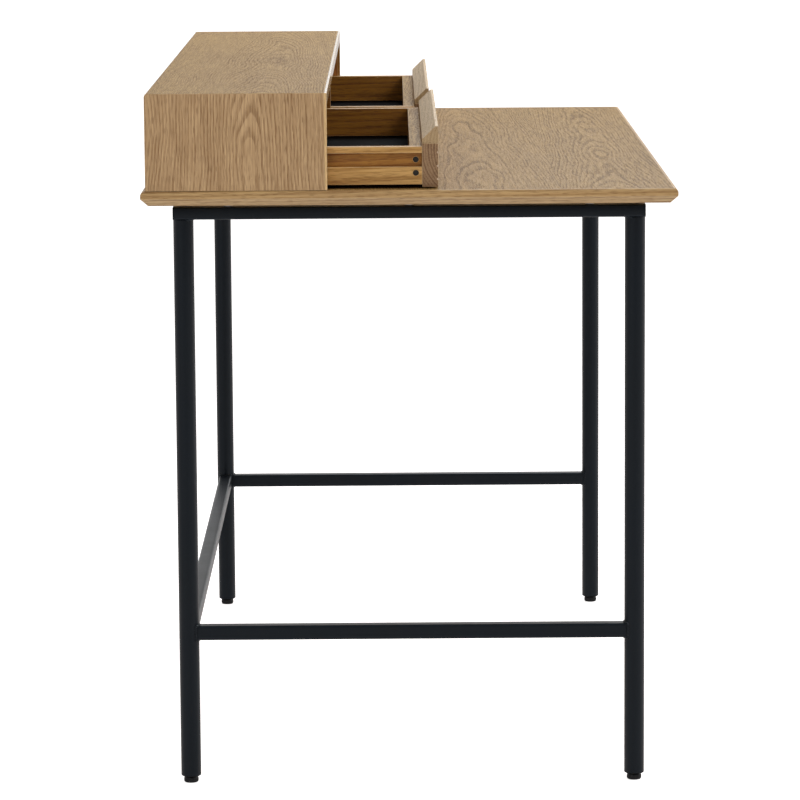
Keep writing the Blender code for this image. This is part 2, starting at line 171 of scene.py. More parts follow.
def new_group(name: str, tree_type: str, inputs: dict[str, Kind], outputs: dict[str, Kind]) -> Group:
    """Start a node group with a named interface.

    Args:
        name: The group's name.
        tree_type: ShaderNodeTree or GeometryNodeTree.
        inputs: The kind of each named input.
        outputs: The kind of each named output.

    Returns:
        The tree, its inputs as sockets by name, and its output node.
    """
    group = bpy.data.node_groups.new(name, tree_type)
    for in_out, sockets in (("INPUT", inputs), ("OUTPUT", outputs)):
        for label, kind in sockets.items():
            group.interface.new_socket(name=label, in_out=in_out, socket_type=kind.value)
    tree = Tree(group)
    source = tree.add("NodeGroupInput")
    return tree, {label: source.outputs[label] for label in inputs}, tree.add("NodeGroupOutput")


def oak_grain_group() -> bpy.types.NodeTree:
    """Make the oak pattern, whose fibres run along X and whose growth rings are coned about X.

    Returns:
        A group that puts out the wood's colour, roughness and height at a point in the log.
    """
    number, colour = Kind.NUMBER, Kind.COLOUR
    inputs = {
        "Vector": Kind.PLACE,
        "Ring Pitch": number,
        "Taper": number,
        "Wander": number,
        "Turns": number,
        "Figure": number,
        "Streaks": number,
        "Pores": number,
        # How much of a painted light tint a face takes, and that tint: darker for painted shade, paler for
        # painted bounced light
        "Inside": number,
        "Painted Light Tint": colour,
        "End": number,
        "End Shade": colour,
        "Light": colour,
        "Dark": colour,
        "Roughness": number,
    }
    outputs = {"Color": colour, "Roughness": number, "Height": number}
    tree, given, out = new_group("oak_grain", "ShaderNodeTree", inputs, outputs)
    place = given["Vector"]
    along = tree.add("ShaderNodeSeparateXYZ", {0: place}).outputs["X"]
    across = tree.vector("LENGTH", tree.vector("MULTIPLY", place, (0.0, 1.0, 1.0)), out="Value")
    turns = tree.add("ShaderNodeCombineXYZ", {"X": given["Turns"], "Y": 1.0, "Z": 1.0}).outputs[0]
    drawn = tree.vector("MULTIPLY", place, turns)
    slow = tree.math("SUBTRACT", tree.noise(drawn, *OAK_WAVES["slow"]), 0.5)
    bend = tree.math("SUBTRACT", tree.noise(drawn, *OAK_WAVES["bend"]), 0.5)
    ripple = tree.math("SUBTRACT", tree.noise(drawn, *OAK_WAVES["ripple"]), 0.5)
    shift = tree.math("MULTIPLY_ADD", bend, 0.25, tree.math("MULTIPLY_ADD", ripple, 0.03, slow))
    radius = tree.math("MULTIPLY_ADD", along, given["Taper"], across)
    radius = tree.math("MULTIPLY_ADD", shift, given["Wander"], radius)
    rings = tree.math("DIVIDE", radius, given["Ring Pitch"])
    phase = tree.math("FRACT", rings)
    year = tree.add("ShaderNodeTexWhiteNoise", {"W": tree.math("FLOOR", rings)}, noise_dimensions="1D")
    rise = tree.ease(phase, 0.0, 0.12, 0.0, 1.0)
    early = tree.math("MULTIPLY", rise, tree.ease(phase, 0.2, 0.75, 1.0, 0.0))
    strength = tree.math("MULTIPLY_ADD", year.outputs["Value"], 0.6, 0.4)
    early = tree.math("MULTIPLY", early, strength)
    fibre = tree.noise(place, *OAK_WAVES["fibre"])
    streak = tree.noise(place, *OAK_WAVES["streak"])
    band = tree.noise(place, *OAK_WAVES["band"])
    pore = tree.noise(place, *OAK_WAVES["pore"])
    pore = tree.ease(tree.math("MULTIPLY_ADD", early, 0.16, pore), 0.6, 0.72, 0.0, given["Pores"])
    cloud = tree.noise(place, *OAK_WAVES["cloud"])
    depth = tree.math("MULTIPLY", early, given["Figure"])
    for pattern, weight in ((fibre, 0.7), (streak, given["Streaks"]), (band, 0.5), (cloud, 0.5)):
        depth = tree.math("MULTIPLY_ADD", tree.math("SUBTRACT", pattern, 0.5), weight, depth)
    depth = tree.add("ShaderNodeClamp", {0: tree.math("ADD", depth, 0.28)}).outputs[0]
    body = tree.blend(depth, given["Light"], given["Dark"])
    pit = tree.blend(1.0, given["Dark"], (0.5, 0.42, 0.34, 1.0), "MULTIPLY")
    pored = tree.blend(tree.math("MULTIPLY", pore, 0.55), body, pit)
    ended = tree.blend(given["End"], pored, tree.blend(1.0, pored, given["End Shade"], "MULTIPLY"))
    # Marked faces take the tint: painted shade inside the cabinet, the drawers and the grooves, painted
    # bounced light under the slab's bevel
    shaded = tree.blend(1.0, ended, given["Painted Light Tint"], "MULTIPLY")
    tree.feed(out.inputs["Color"], tree.blend(given["Inside"], ended, shaded))
    rough = tree.math("MULTIPLY_ADD", tree.math("SUBTRACT", fibre, 0.5), 0.2, given["Roughness"])
    tree.feed(out.inputs["Roughness"], tree.math("MULTIPLY_ADD", pore, 0.12, rough))
    height = tree.math("MULTIPLY_ADD", pore, -0.7, tree.math("MULTIPLY", fibre, 0.35))
    tree.feed(out.inputs["Height"], tree.math("MULTIPLY_ADD", early, -0.25, height))
    return tree.tree


def veneer_leaves_group() -> bpy.types.NodeTree:
    """Make the layout of veneer leaves, laid side by side across Y, each from its own place in the log."""
    inputs = {"Vector": Kind.PLACE, "Leaf": Kind.NUMBER}
    tree, given, out = new_group("veneer_leaves", "ShaderNodeTree", inputs, {"Vector": Kind.PLACE})
    parts = tree.add("ShaderNodeSeparateXYZ", {0: given["Vector"]})
    leaves = tree.math("DIVIDE", parts.outputs["Y"], given["Leaf"])
    number = tree.math("FLOOR", leaves)
    draw = tree.add("ShaderNodeTexWhiteNoise", {"W": number}, noise_dimensions="1D").outputs["Color"]
    spread = tree.vector("MULTIPLY", tree.vector("SUBTRACT", draw, (0.5, 0.5, 0.5)), (4.0, 0.07, 0.03))
    middle = tree.math("MULTIPLY", tree.math("ADD", number, 0.5), given["Leaf"])
    local = tree.math("SUBTRACT", parts.outputs["Y"], middle)
    inputs = {"X": parts.outputs["X"], "Y": local, "Z": parts.outputs["Z"]}
    moved = tree.add("ShaderNodeCombineXYZ", inputs).outputs[0]
    tree.feed(out.inputs["Vector"], tree.vector("ADD", moved, spread))
    return tree.tree


def edge_wear_and_highlight_group() -> bpy.types.NodeTree:
    """Make the paler edges, partly from wearing and partly a painted highlight: the arris takes a paler
    colour, broken up by noise.
    """
    inputs = {
        "Color": Kind.COLOUR,
        "Worn And Lit": Kind.COLOUR,
        "Vector": Kind.PLACE,
        "Arris": Kind.NUMBER,
        "Amount": Kind.NUMBER,
        "Roughness": Kind.NUMBER,
    }
    outputs = {"Color": Kind.COLOUR, "Roughness": Kind.NUMBER}
    tree, given, out = new_group("edge_wear_and_highlight", "ShaderNodeTree", inputs, outputs)
    patchy = tree.ease(tree.noise(given["Vector"], (60.0, 60.0, 60.0)), 0.3, 0.65, 0.45, 1.0)
    mask = tree.math("MULTIPLY", tree.math("MULTIPLY", given["Arris"], given["Amount"]), patchy)
    tree.feed(out.inputs["Color"], tree.blend(mask, given["Color"], given["Worn And Lit"]))
    tree.feed(out.inputs["Roughness"], tree.math("MULTIPLY_ADD", mask, -0.08, given["Roughness"]))
    return tree.tree


def surface_grain_group() -> bpy.types.NodeTree:
    """Make the fine texture of coatings and mouldings: a colour that drifts, and a dimpled height."""
    inputs = {
        "Vector": Kind.PLACE,
        "Grain": Kind.NUMBER,
        "Color": Kind.COLOUR,
        "Drift": Kind.COLOUR,
        "Roughness": Kind.NUMBER,
    }
    outputs = {"Color": Kind.COLOUR, "Roughness": Kind.NUMBER, "Height": Kind.NUMBER}
    tree, given, out = new_group("surface_grain", "ShaderNodeTree", inputs, outputs)
    fine = tree.vector("SCALE", given["Vector"])
    tree.feed(fine.node.inputs["Scale"], given["Grain"])
    dimple = tree.noise(fine, (1.0, 1.0, 1.0), 2.0)
    drift = tree.noise(given["Vector"], (14.0, 14.0, 5.0), 3.0)
    dust = tree.ease(tree.noise(given["Vector"], (420.0, 420.0, 420.0), 1.0), 0.66, 0.74, 0.0, 0.25)
    colour = tree.blend(tree.ease(drift, 0.3, 0.7, 0.0, 1.0), given["Color"], given["Drift"])
    pale = tree.blend(1.0, colour, (0.012, 0.012, 0.013, 1.0), "ADD")
    tree.feed(out.inputs["Color"], tree.blend(dust, colour, pale))
    rough = tree.math("MULTIPLY_ADD", tree.math("SUBTRACT", drift, 0.5), 0.14, given["Roughness"])
    tree.feed(out.inputs["Roughness"], tree.math("MULTIPLY_ADD", dust, 0.3, rough))
    tree.feed(out.inputs["Height"], dimple)
    return tree.tree


@dataclass
class Groups:
    """The shader groups that the finishes share, each built once."""

    oak: bpy.types.NodeTree = field(default_factory=oak_grain_group)
    leaves: bpy.types.NodeTree = field(default_factory=veneer_leaves_group)
    wear_and_highlight: bpy.types.NodeTree = field(default_factory=edge_wear_and_highlight_group)
    grain: bpy.types.NodeTree = field(default_factory=surface_grain_group)


# ---------------------------------------------------------------- finishes


class Grain(Enum):
    """The way that a board's fibres run."""

    LENGTH = "X"
    DEPTH = "Y"
    HEIGHT = "Z"

    @property
    def turn(self) -> Euler:
        """The rotation that brings the fibres to X."""
        quarter = math.pi / 2
        turns = {"X": (0.0, 0.0, 0.0), "Y": (0.0, 0.0, -quarter), "Z": (0.0, quarter, 0.0)}
        return Euler(turns[self.value])

    @property
    def fibre(self) -> Place:
        """The fibres' direction in the object."""
        return tuple(float(self.value == axis) for axis in "XYZ")


def start_material(name: str) -> tuple[bpy.types.Material, Tree, bpy.types.Node]:
    """Make a material with nodes, and return it with its tree and its Principled shader."""
    material = bpy.data.materials.new(name)
    material.use_nodes = True
    tree = Tree(material.node_tree)
    return material, tree, material.node_tree.nodes["Principled BSDF"]


def wear_highlight_and_bump(
    tree: Tree, shader: bpy.types.Node, surface: bpy.types.Node, place: Any, finish: Any, strength: float
) -> None:
    """Colour a surface's edges paler, partly from wearing and partly as a painted highlight, and feed it to a
    shader.

    Args:
        tree: The material's tree.
        shader: Its Principled shader.
        surface: The group that gives the surface's colour, roughness and height.
        place: The object's coordinates.
        finish: The finish, which says how it wears and how deep its bumps are.
        strength: How much of the bump shows.
    """
    inputs = {
        "Color": surface.outputs["Color"],
        "Worn And Lit": linear(finish.worn_and_lit),
        "Vector": place,
        "Arris": tree.add("ShaderNodeAttribute", attribute_name=ARRIS_ATTRIBUTE).outputs["Fac"],
        "Amount": finish.wear_and_highlight,
        "Roughness": surface.outputs["Roughness"],
    }
    worn_and_lit = tree.group(finish.groups.wear_and_highlight, inputs)
    tree.feed(shader.inputs["Base Color"], worn_and_lit.outputs["Color"])
    tree.feed(shader.inputs["Roughness"], worn_and_lit.outputs["Roughness"])
    inputs = {"Height": surface.outputs["Height"], "Distance": finish.bump, "Strength": strength}
    tree.feed(shader.inputs["Normal"], tree.add("ShaderNodeBump", inputs).outputs[0])


@dataclass(frozen=True)
class OakFinish:
    """Oiled oak, cut from a log at a chosen place so that rings, arches or end grain show."""

    groups: Groups
    light: Colour
    dark: Colour
    # Paler arris colour: partly from wearing, partly a painted highlight on the edges
    worn_and_lit: Colour = (0.83, 0.71, 0.54)
    end_shade: Colour = (0.86, 0.85, 0.85)
    # Tint of the painted shade, or of the painted bounced light, on the faces marked for it
    painted_light_tint: Colour = (0.74, 0.60, 0.35)
    ring_pitch: float = 0.0044
    taper: float = 0.10
    wander: float = 0.020
    turns: float = 1.5
    figure: float = 0.62
    streaks: float = 0.9
    pores: float = 0.8
    wear_and_highlight: float = 0.75
    roughness: float = 0.50
    specular: float = 0.4
    coat: float = 0.0
    leaf: float = 0.0
    bump: float = 0.00025

    def material(self, name: str, grain: Grain, centre: Sequence[float], heart: Place) -> bpy.types.Material:
        """Make the material of one piece.

        Args:
            name: The piece's name.
            grain: The way that the fibres run.
            centre: The piece's centre.
            heart: Where that centre lies from the log's heart: along, across and out from it.

        Returns:
            The material.
        """
        material, tree, shader = start_material(f"oak_{name}")
        source = tree.add("ShaderNodeTexCoord")
        location = Vector(heart) - grain.turn.to_matrix() @ Vector(centre)
        inputs = {"Vector": source.outputs["Object"], "Location": location, "Rotation": grain.turn}
        place = tree.add("ShaderNodeMapping", inputs).outputs[0]
        if self.leaf > 0.0:
            place = tree.group(self.groups.leaves, {"Vector": place, "Leaf": self.leaf}).outputs[0]
        facing = tree.vector("DOT_PRODUCT", source.outputs["Normal"], grain.fibre, out="Value")
        ended = tree.ease(tree.math("ABSOLUTE", facing), 0.6, 0.95, 0.0, 1.0)
        inputs = {
            "Vector": place,
            "Ring Pitch": self.ring_pitch,
            "Taper": self.taper,
            "Wander": self.wander,
            "Turns": self.turns,
            "Figure": self.figure,
            "Streaks": self.streaks,
            "Pores": self.pores,
            # The face attribute and the tint of the painted light and shade
            "Inside": tree.add("ShaderNodeAttribute", attribute_name=PAINTED_LIGHT_ATTRIBUTE).outputs["Fac"],
            "Painted Light Tint": linear(self.painted_light_tint),
            "End": ended,
            "End Shade": linear(self.end_shade),
            "Light": linear(self.light),
            "Dark": linear(self.dark),
            "Roughness": self.roughness,
        }
        wood = tree.group(self.groups.oak, inputs)
        wear_highlight_and_bump(tree, shader, wood, source.outputs["Object"], self, 0.6)
        shader.inputs["Specular IOR Level"].default_value = self.specular
        shader.inputs["Coat Weight"].default_value = self.coat
        shader.inputs["Coat Roughness"].default_value = COAT_ROUGHNESS
        return material


@dataclass(frozen=True)
class CoatFinish:
    """A coated, moulded or plated surface of one colour, with fine dimples and paler edges, partly from
    wearing and partly a painted highlight.
    """

    groups: Groups
    name: str
    colour: Colour
    drift: Colour
    # Paler arris colour: partly from wearing, partly a painted highlight on the edges
    worn_and_lit: Colour
    grain: float = 900.0
    bump: float = 0.00004
    roughness: float = 0.42
    metallic: float = 0.0
    specular: float = 0.5
    tint: Colour = (1.0, 1.0, 1.0)
    wear_and_highlight: float = 0.5

    def material(self) -> bpy.types.Material:
        """Make the material."""
        material, tree, shader = start_material(self.name)
        place = tree.add("ShaderNodeTexCoord").outputs["Object"]
        inputs = {
            "Vector": place,
            "Grain": self.grain,
            "Color": linear(self.colour),
            "Drift": linear(self.drift),
            "Roughness": self.roughness,
        }
        coat = tree.group(self.groups.grain, inputs)
        wear_highlight_and_bump(tree, shader, coat, place, self, 0.7)
        shader.inputs["Metallic"].default_value = self.metallic
        shader.inputs["Specular IOR Level"].default_value = self.specular
        shader.inputs["Specular Tint"].default_value = linear(self.tint)
        return material


# ---------------------------------------------------------------- mesh work


class Axis(Enum):
    """A direction to extrude along, with the two that its outline is drawn in."""

    X = (0, 1, 2)
    Y = (1, 0, 2)
    Z = (2, 0, 1)

    def point(self, along: float, across: float, up: float) -> Vector:
        """Place a point from its distance along the axis and its two outline coordinates."""
        place = Vector((0.0, 0.0, 0.0))
        for index, value in zip(self.value, (along, across, up)):
            place[index] = value
        return place


def to_mesh(bm: bmesh.types.BMesh, name: str) -> bpy.types.Mesh:
    """Turn a bmesh into a mesh with its faces pointing out, and free it."""
    bmesh.ops.remove_doubles(bm, verts=bm.verts, dist=MERGE)
    bmesh.ops.recalc_face_normals(bm, faces=bm.faces)
    mesh = bpy.data.meshes.new(name)
    bm.to_mesh(mesh)
    bm.free()
    return mesh


def add_part(whole: bmesh.types.BMesh, part: bmesh.types.BMesh) -> None:
    """Add one closed shape to a bmesh that holds several."""
    made = to_mesh(part, "part")
    whole.from_mesh(made)
    bpy.data.meshes.remove(made)


def ease_edges(bm: bmesh.types.BMesh, width: float, steps: int = 2) -> None:
    """Round every convex corner edge by a small width."""
    bmesh.ops.recalc_face_normals(bm, faces=bm.faces)
    sharp = [e for e in bm.edges if len(e.link_faces) == 2 and e.calc_face_angle_signed() > SHARP]
    bmesh.ops.bevel(bm, geom=sharp, offset=width, segments=steps, profile=0.5, affect="EDGES")


def prism(outline: Sequence[Point], axis: Axis, low: float, high: float) -> bmesh.types.BMesh:
    """Extrude an outline.

    Args:
        outline: The outline's corners, in the two directions across the axis.
        axis: The direction to extrude along.
        low: Where the prism starts.
        high: Where it ends.

    Returns:
        A closed prism.
    """
    bm = bmesh.new()
    ends = [[bm.verts.new(axis.point(end, *corner)) for corner in outline] for end in (low, high)]
    bm.faces.new(ends[0])
    bm.faces.new(ends[1])
    for index in range(len(outline)):
        after = (index + 1) % len(outline)
        bm.faces.new((ends[0][index], ends[0][after], ends[1][after], ends[1][index]))
    return bm


def block(low: Sequence[float], high: Sequence[float]) -> bmesh.types.BMesh:
    """Make a plain board between two corners."""
    outline = [(low[1], low[2]), (high[1], low[2]), (high[1], high[2]), (low[1], high[2])]
    return prism(outline, Axis.X, low[0], high[0])


def arc(centre: Point, radius: float, start: float, end: float, steps: int) -> list[Point]:
    """List points along an arc; the angles are in degrees."""
    turns = [math.radians(start + (end - start) * step / steps) for step in range(steps + 1)]
    return [(centre[0] + radius * math.cos(t), centre[1] + radius * math.sin(t)) for t in turns]


def rounded_rectangle(width: float, height: float, radius: float, flat_steps: int = 1) -> list[Point]:
    """List the points round a rectangle with rounded corners, its flats cut into equal steps."""
    u, v = width / 2 - radius, height / 2 - radius
    corners = ((u, v, 0), (-u, v, 90), (-u, -v, 180), (u, -v, 270))
    points: list[Point] = []
    for index, (x, y, angle) in enumerate(corners):
        bend = arc((x, y), radius, angle, angle + 90, 4)
        points += bend
        after = corners[(index + 1) % 4]
        nearest = arc((after[0], after[1]), radius, after[2], after[2] + 90, 4)[0]
        last = bend[-1]
        for step in range(1, flat_steps):
            share = step / flat_steps
            points.append(tuple(a + (b - a) * share for a, b in zip(last, nearest)))
    return points


def sleeve(
    outer: Sequence[Point], inner: Sequence[Point], place: Callable[[int, Point], Vector]
) -> bmesh.types.BMesh:
    """Make an open-ended tube between two outlines of equal length.

    Args:
        outer: The outside outline.
        inner: The inside outline.
        place: Gives the position of an outline point at end 0 or end 1.

    Returns:
        The tube, closed round its wall.
    """
    bm = bmesh.new()
    rings = [[bm.verts.new(place(end, p)) for p in loop] for end in (0, 1) for loop in (outer, inner)]
    count = len(outer)
    walls = ((rings[0], rings[2]), (rings[1], rings[3]), (rings[0], rings[1]), (rings[2], rings[3]))
    for first, second in walls:
        for index in range(count):
            after = (index + 1) % count
            bm.faces.new((first[index], first[after], second[after], second[index]))
    return bm


def turned(profile: Sequence[Point], sides: int, centre: Point = (0.0, 0.0)) -> bmesh.types.BMesh:
    """Turn a profile of (radius, height) points about an upright axis; it ends at radius 0 or closes."""
    bm = bmesh.new()
    rings: list[list[bmesh.types.BMVert]] = []
    for radius, height in profile:
        count = 1 if radius == 0.0 else sides
        turns = [2 * math.pi * side / sides for side in range(count)]
        spots = [(centre[0] + radius * math.cos(t), centre[1] + radius * math.sin(t), height) for t in turns]
        rings.append([bm.verts.new(spot) for spot in spots])
    pairs = list(zip(rings, rings[1:]))
    if profile[0][0] > 0.0:
        pairs.append((rings[-1], rings[0]))
    for lower, upper in pairs:
        for side in range(sides):
            after = (side + 1) % sides
            spots = [lower[side % len(lower)], lower[after % len(lower)]]
            spots += [upper[after % len(upper)], upper[side % len(upper)]]
            bm.faces.new(list(dict.fromkeys(spots)))
    return bm


def mitre(bm: bmesh.types.BMesh, point: Sequence[float], normal: Sequence[float]) -> None:
    """Cut away what lies in front of a plane, and close the cut."""
    everything = [*bm.verts, *bm.edges, *bm.faces]
    made = bmesh.ops.bisect_plane(bm, geom=everything, plane_co=point, plane_no=normal, clear_outer=True)
    rim = [part for part in made["geom_cut"] if isinstance(part, bmesh.types.BMEdge)]
    bmesh.ops.edgeloop_fill(bm, edges=rim)


def mark_arrises(mesh: bpy.types.Mesh) -> None:
    """Write 1 on the narrow faces along the edges of a mesh, where it wears and where edge highlights are
    painted, and 0 on the others.
    """
    marks = mesh.attributes.new(ARRIS_ATTRIBUTE, "FLOAT", "FACE")
    for face in mesh.polygons:
        corners = [mesh.vertices[index].co for index in face.vertices]
        longest = max((a - b).length for a, b in zip(corners, corners[1:] + corners[:1]))
        marks.data[face.index].value = float(face.area / longest < NARROW_FACE)


def mark_painted_light(mesh: bpy.types.Mesh, shade: Callable[[Vector, Vector], float]) -> None:
    """Write on each face how much painted light or shade its colour takes, given its centre and its normal.
    """
    marks = mesh.attributes.new(PAINTED_LIGHT_ATTRIBUTE, "FLOAT", "FACE")
    for face in mesh.polygons:
        marks.data[face.index].value = shade(face.center, face.normal)


def evaluated_mesh(item: bpy.types.Object, name: str) -> bpy.types.Mesh:
    """Turn an object with modifiers into a plain mesh, and remove the object."""
    graph = bpy.context.evaluated_depsgraph_get()
    mesh = bpy.data.meshes.new_from_object(item.evaluated_get(graph))
    mesh.name = name
    bpy.data.objects.remove(item)
    return mesh


def loose_object(name: str, mesh: bpy.types.Mesh) -> bpy.types.Object:
    """Put a mesh in the scene for its modifiers to work on."""
    item = bpy.data.objects.new(name, mesh)
    bpy.context.scene.collection.objects.link(item)
    return item


def drilled(mesh: bpy.types.Mesh, cutter: bpy.types.Mesh) -> bpy.types.Mesh:
    """Cut one mesh by another."""
    item = loose_object(mesh.name, mesh)
    tool = loose_object(mesh.name + "_drill", cutter)
    cut = item.modifiers.new("holes", "BOOLEAN")
    cut.object = tool
    cut.solver = "EXACT"
    made = evaluated_mesh(item, mesh.name)
    bpy.data.objects.remove(tool)
    return made


@dataclass
class Fitter:
    """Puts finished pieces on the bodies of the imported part."""

    count: int = 0

    def fit(
        self,
        name: str,
        mesh: bpy.types.Mesh,
        material: bpy.types.Material,
        body: str,
        nodes: Iterable[str],
        slot: str,
        smooth: bool = False,
    ) -> bpy.types.Object:
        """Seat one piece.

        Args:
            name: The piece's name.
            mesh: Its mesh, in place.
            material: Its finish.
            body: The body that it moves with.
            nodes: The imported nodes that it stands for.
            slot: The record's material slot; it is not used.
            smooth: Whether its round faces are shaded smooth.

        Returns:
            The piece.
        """
        if ARRIS_ATTRIBUTE not in mesh.attributes:
            mark_arrises(mesh)
        mesh.materials.clear()
        mesh.materials.append(material)
        if smooth:
            mesh.shade_smooth()
            mesh.set_sharp_from_angle(angle=SHARP)
        item = loose_object(name, mesh)
        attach(item, body)
        stood_for = list(nodes)
        if stood_for:
            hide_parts(*stood_for)
        self.count += 1
        log.info("%s on %s, for %s, %d faces", name, body, stood_for or "no node", len(mesh.polygons))
        return item

    def dress(self, node: str, material: bpy.types.Material) -> None:
        """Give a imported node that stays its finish."""
        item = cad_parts[node]
        item.data.materials.clear()
        item.data.materials.append(material)
        self.count += 1
        log.info("%s keeps its packed shape", node)


# ---------------------------------------------------------------- what repeats, in Geometry Nodes


def through_nodes(
    name: str,
    base: bpy.types.Mesh,
    group: bpy.types.NodeTree,
    values: dict[str, Any],
    ease: float = 0.0,
) -> bpy.types.Mesh:
    """Run a base mesh through a Geometry Nodes group.

    Args:
        name: The result's name.
        base: The mesh that the group starts from.
        group: The node group.
        values: The group's inputs, by name.
        ease: The width of a bevel on the result's edges, or 0 for none.

    Returns:
        The result as a plain mesh.
    """
    item = loose_object(name, base)
    modifier = item.modifiers.new(name, "NODES")
    modifier.node_group = group
    for socket in group.interface.items_tree:
        if socket.in_out == "INPUT" and socket.name in values:
            modifier[socket.identifier] = values[socket.name]
    if ease > 0.0:
        bevel = item.modifiers.new("eased edges", "BEVEL")
        bevel.width = ease
        bevel.segments = 2
        bevel.limit_method = "ANGLE"
        bevel.angle_limit = SHARP
    return evaluated_mesh(item, name)


def geometry_group(name: str, inputs: dict[str, Kind]) -> Group:
    """Start a Geometry Nodes group that takes a mesh, named sizes and a finish."""
    sockets = {"Geometry": Kind.MESH, **inputs, "Finish": Kind.FINISH}
    return new_group(name, "GeometryNodeTree", sockets, {"Geometry": Kind.MESH})


def finish_group(
    tree: Tree, shape: bpy.types.NodeSocket, finish: bpy.types.NodeSocket, out: bpy.types.Node
) -> bpy.types.NodeTree:
    """End a Geometry Nodes group with Realize Instances and Set Material."""
    real = tree.add("GeometryNodeRealizeInstances", {0: shape}).outputs[0]
    dressed = tree.add("GeometryNodeSetMaterial", {"Geometry": real, "Material": finish}).outputs[0]
    tree.feed(out.inputs["Geometry"], dressed)
    return tree.tree


def grooved_board_group() -> bpy.types.NodeTree:
    """Make the group that cuts a row of V grooves along the face of a board.

    Returns:
        A group that takes the plain board, where its grooves start, and their sizes.
    """
    number = Kind.NUMBER
    inputs = {
        "First Groove": Kind.PLACE,
        "Count": Kind.WHOLE,
        "Pitch": number,
        "Length": number,
        "Width": number,
        "Depth": number,
    }
    tree, given, out = geometry_group("grooved_board", inputs)
    step = tree.add("ShaderNodeCombineXYZ", {"Z": given["Pitch"]}).outputs[0]
    inputs = {"Count": given["Count"], "Start Location": given["First Groove"], "Offset": step}
    row = tree.add("GeometryNodeMeshLine", inputs, mode="OFFSET").outputs[0]
    inputs = {"Vertices": 4, "Radius": 1.0, "Depth": 1.0}
    blade = tree.add("GeometryNodeMeshCylinder", inputs).outputs[0]
    upright = (0.0, math.pi / 2, 0.0)
    blade = tree.add("GeometryNodeTransform", {"Geometry": blade, "Rotation": upright}).outputs[0]
    half = tree.math("MULTIPLY", given["Width"], 0.5)
    inputs = {"X": given["Length"], "Y": given["Depth"], "Z": half}
    scale = tree.add("ShaderNodeCombineXYZ", inputs).outputs[0]
    inputs = {"Points": row, "Instance": blade, "Scale": scale}
    blades = tree.add("GeometryNodeInstanceOnPoints", inputs).outputs[0]
    blades = tree.add("GeometryNodeRealizeInstances", {0: blades}).outputs[0]
    cut = tree.add("GeometryNodeMeshBoolean", {"Mesh 1": given["Geometry"], "Mesh 2": blades}, solver="EXACT")
    return finish_group(tree, cut.outputs["Mesh"], given["Finish"], out)


def weld_bead_group() -> bpy.types.NodeTree:
    """Make the group that lays overlapping drops of weld along the edges of a wire mesh.

    Returns:
        A group that takes the wires, the drops' pitch and how much they vary; each wire carries
        its drops' radius in an attribute.
    """
    number = Kind.NUMBER
    tree, given, out = geometry_group("weld_bead", {"Pitch": number, "Variation": number})
    path = tree.add("GeometryNodeMeshToCurve", {0: given["Geometry"]}).outputs[0]
    points = tree.add("GeometryNodeResampleCurve", {"Curve": path, "Length": given["Pitch"]}, mode="LENGTH")
    drop = tree.add("GeometryNodeMeshUVSphere", {"Segments": 8, "Rings": 5, "Radius": 1.0}).outputs[0]
    low = tree.math("SUBTRACT", 1.0, given["Variation"])
    high = tree.math("ADD", 1.0, given["Variation"])
    inputs = {2: low, 3: high, "Seed": SEED}
    spread = tree.add("FunctionNodeRandomValue", inputs, data_type="FLOAT").outputs[1]
    inputs = {"Name": BEAD_ATTRIBUTE}
    radius = tree.add("GeometryNodeInputNamedAttribute", inputs, data_type="FLOAT").outputs[0]
    size = tree.math("MULTIPLY", spread, radius)
    inputs = {"Points": points.outputs[0], "Instance": drop, "Scale": size}
    drops = tree.add("GeometryNodeInstanceOnPoints", inputs).outputs[0]
    return finish_group(tree, drops, given["Finish"], out)


def spacer_grid_group() -> bpy.types.NodeTree:
    """Make the group that sets a washer on each point of a grid."""
    inputs = {"Span": Kind.NUMBER, "Pitch": Kind.NUMBER, "Rows": Kind.WHOLE, "Height": Kind.NUMBER}
    tree, given, out = geometry_group("spacer_grid", inputs)
    run = tree.math("MULTIPLY", given["Pitch"], tree.math("SUBTRACT", given["Rows"], 1.0))
    inputs = {"Size X": given["Span"], "Size Y": run, "Vertices X": 2, "Vertices Y": given["Rows"]}
    grid = tree.add("GeometryNodeMeshGrid", inputs).outputs[0]
    lift = tree.add("ShaderNodeCombineXYZ", {"Z": given["Height"]}).outputs[0]
    grid = tree.add("GeometryNodeTransform", {"Geometry": grid, "Translation": lift}).outputs[0]
    inputs = {"Points": grid, "Instance": given["Geometry"]}
    washers = tree.add("GeometryNodeInstanceOnPoints", inputs).outputs[0]
    return finish_group(tree, washers, given["Finish"], out)


def screw_pair_group() -> bpy.types.NodeTree:
    """Make the group that sets an upper and a lower screw in one drawer side and in the other.

    Returns:
        A group that takes a screw pointing along +X with its face at the origin, the drawer's
        centre, and how far out and how high the two screws sit.
    """
    place = Kind.PLACE
    inputs = {"Centre": place, "Upper": place, "Lower": place}
    tree, given, out = geometry_group("screw_pair", inputs)
    pair = tree.add("GeometryNodeJoinGeometry")
    for label in ("Upper", "Lower"):
        inputs = {"Geometry": given["Geometry"], "Translation": given[label]}
        tree.feed(pair.inputs[0], tree.add("GeometryNodeTransform", inputs).outputs[0])
    both = tree.add("GeometryNodeJoinGeometry")
    for angle in (0.0, math.pi):
        inputs = {"Geometry": pair.outputs[0], "Rotation": (0.0, 0.0, angle), "Translation": given["Centre"]}
        tree.feed(both.inputs[0], tree.add("GeometryNodeTransform", inputs).outputs[0])
    return finish_group(tree, both.outputs[0], given["Finish"], out)


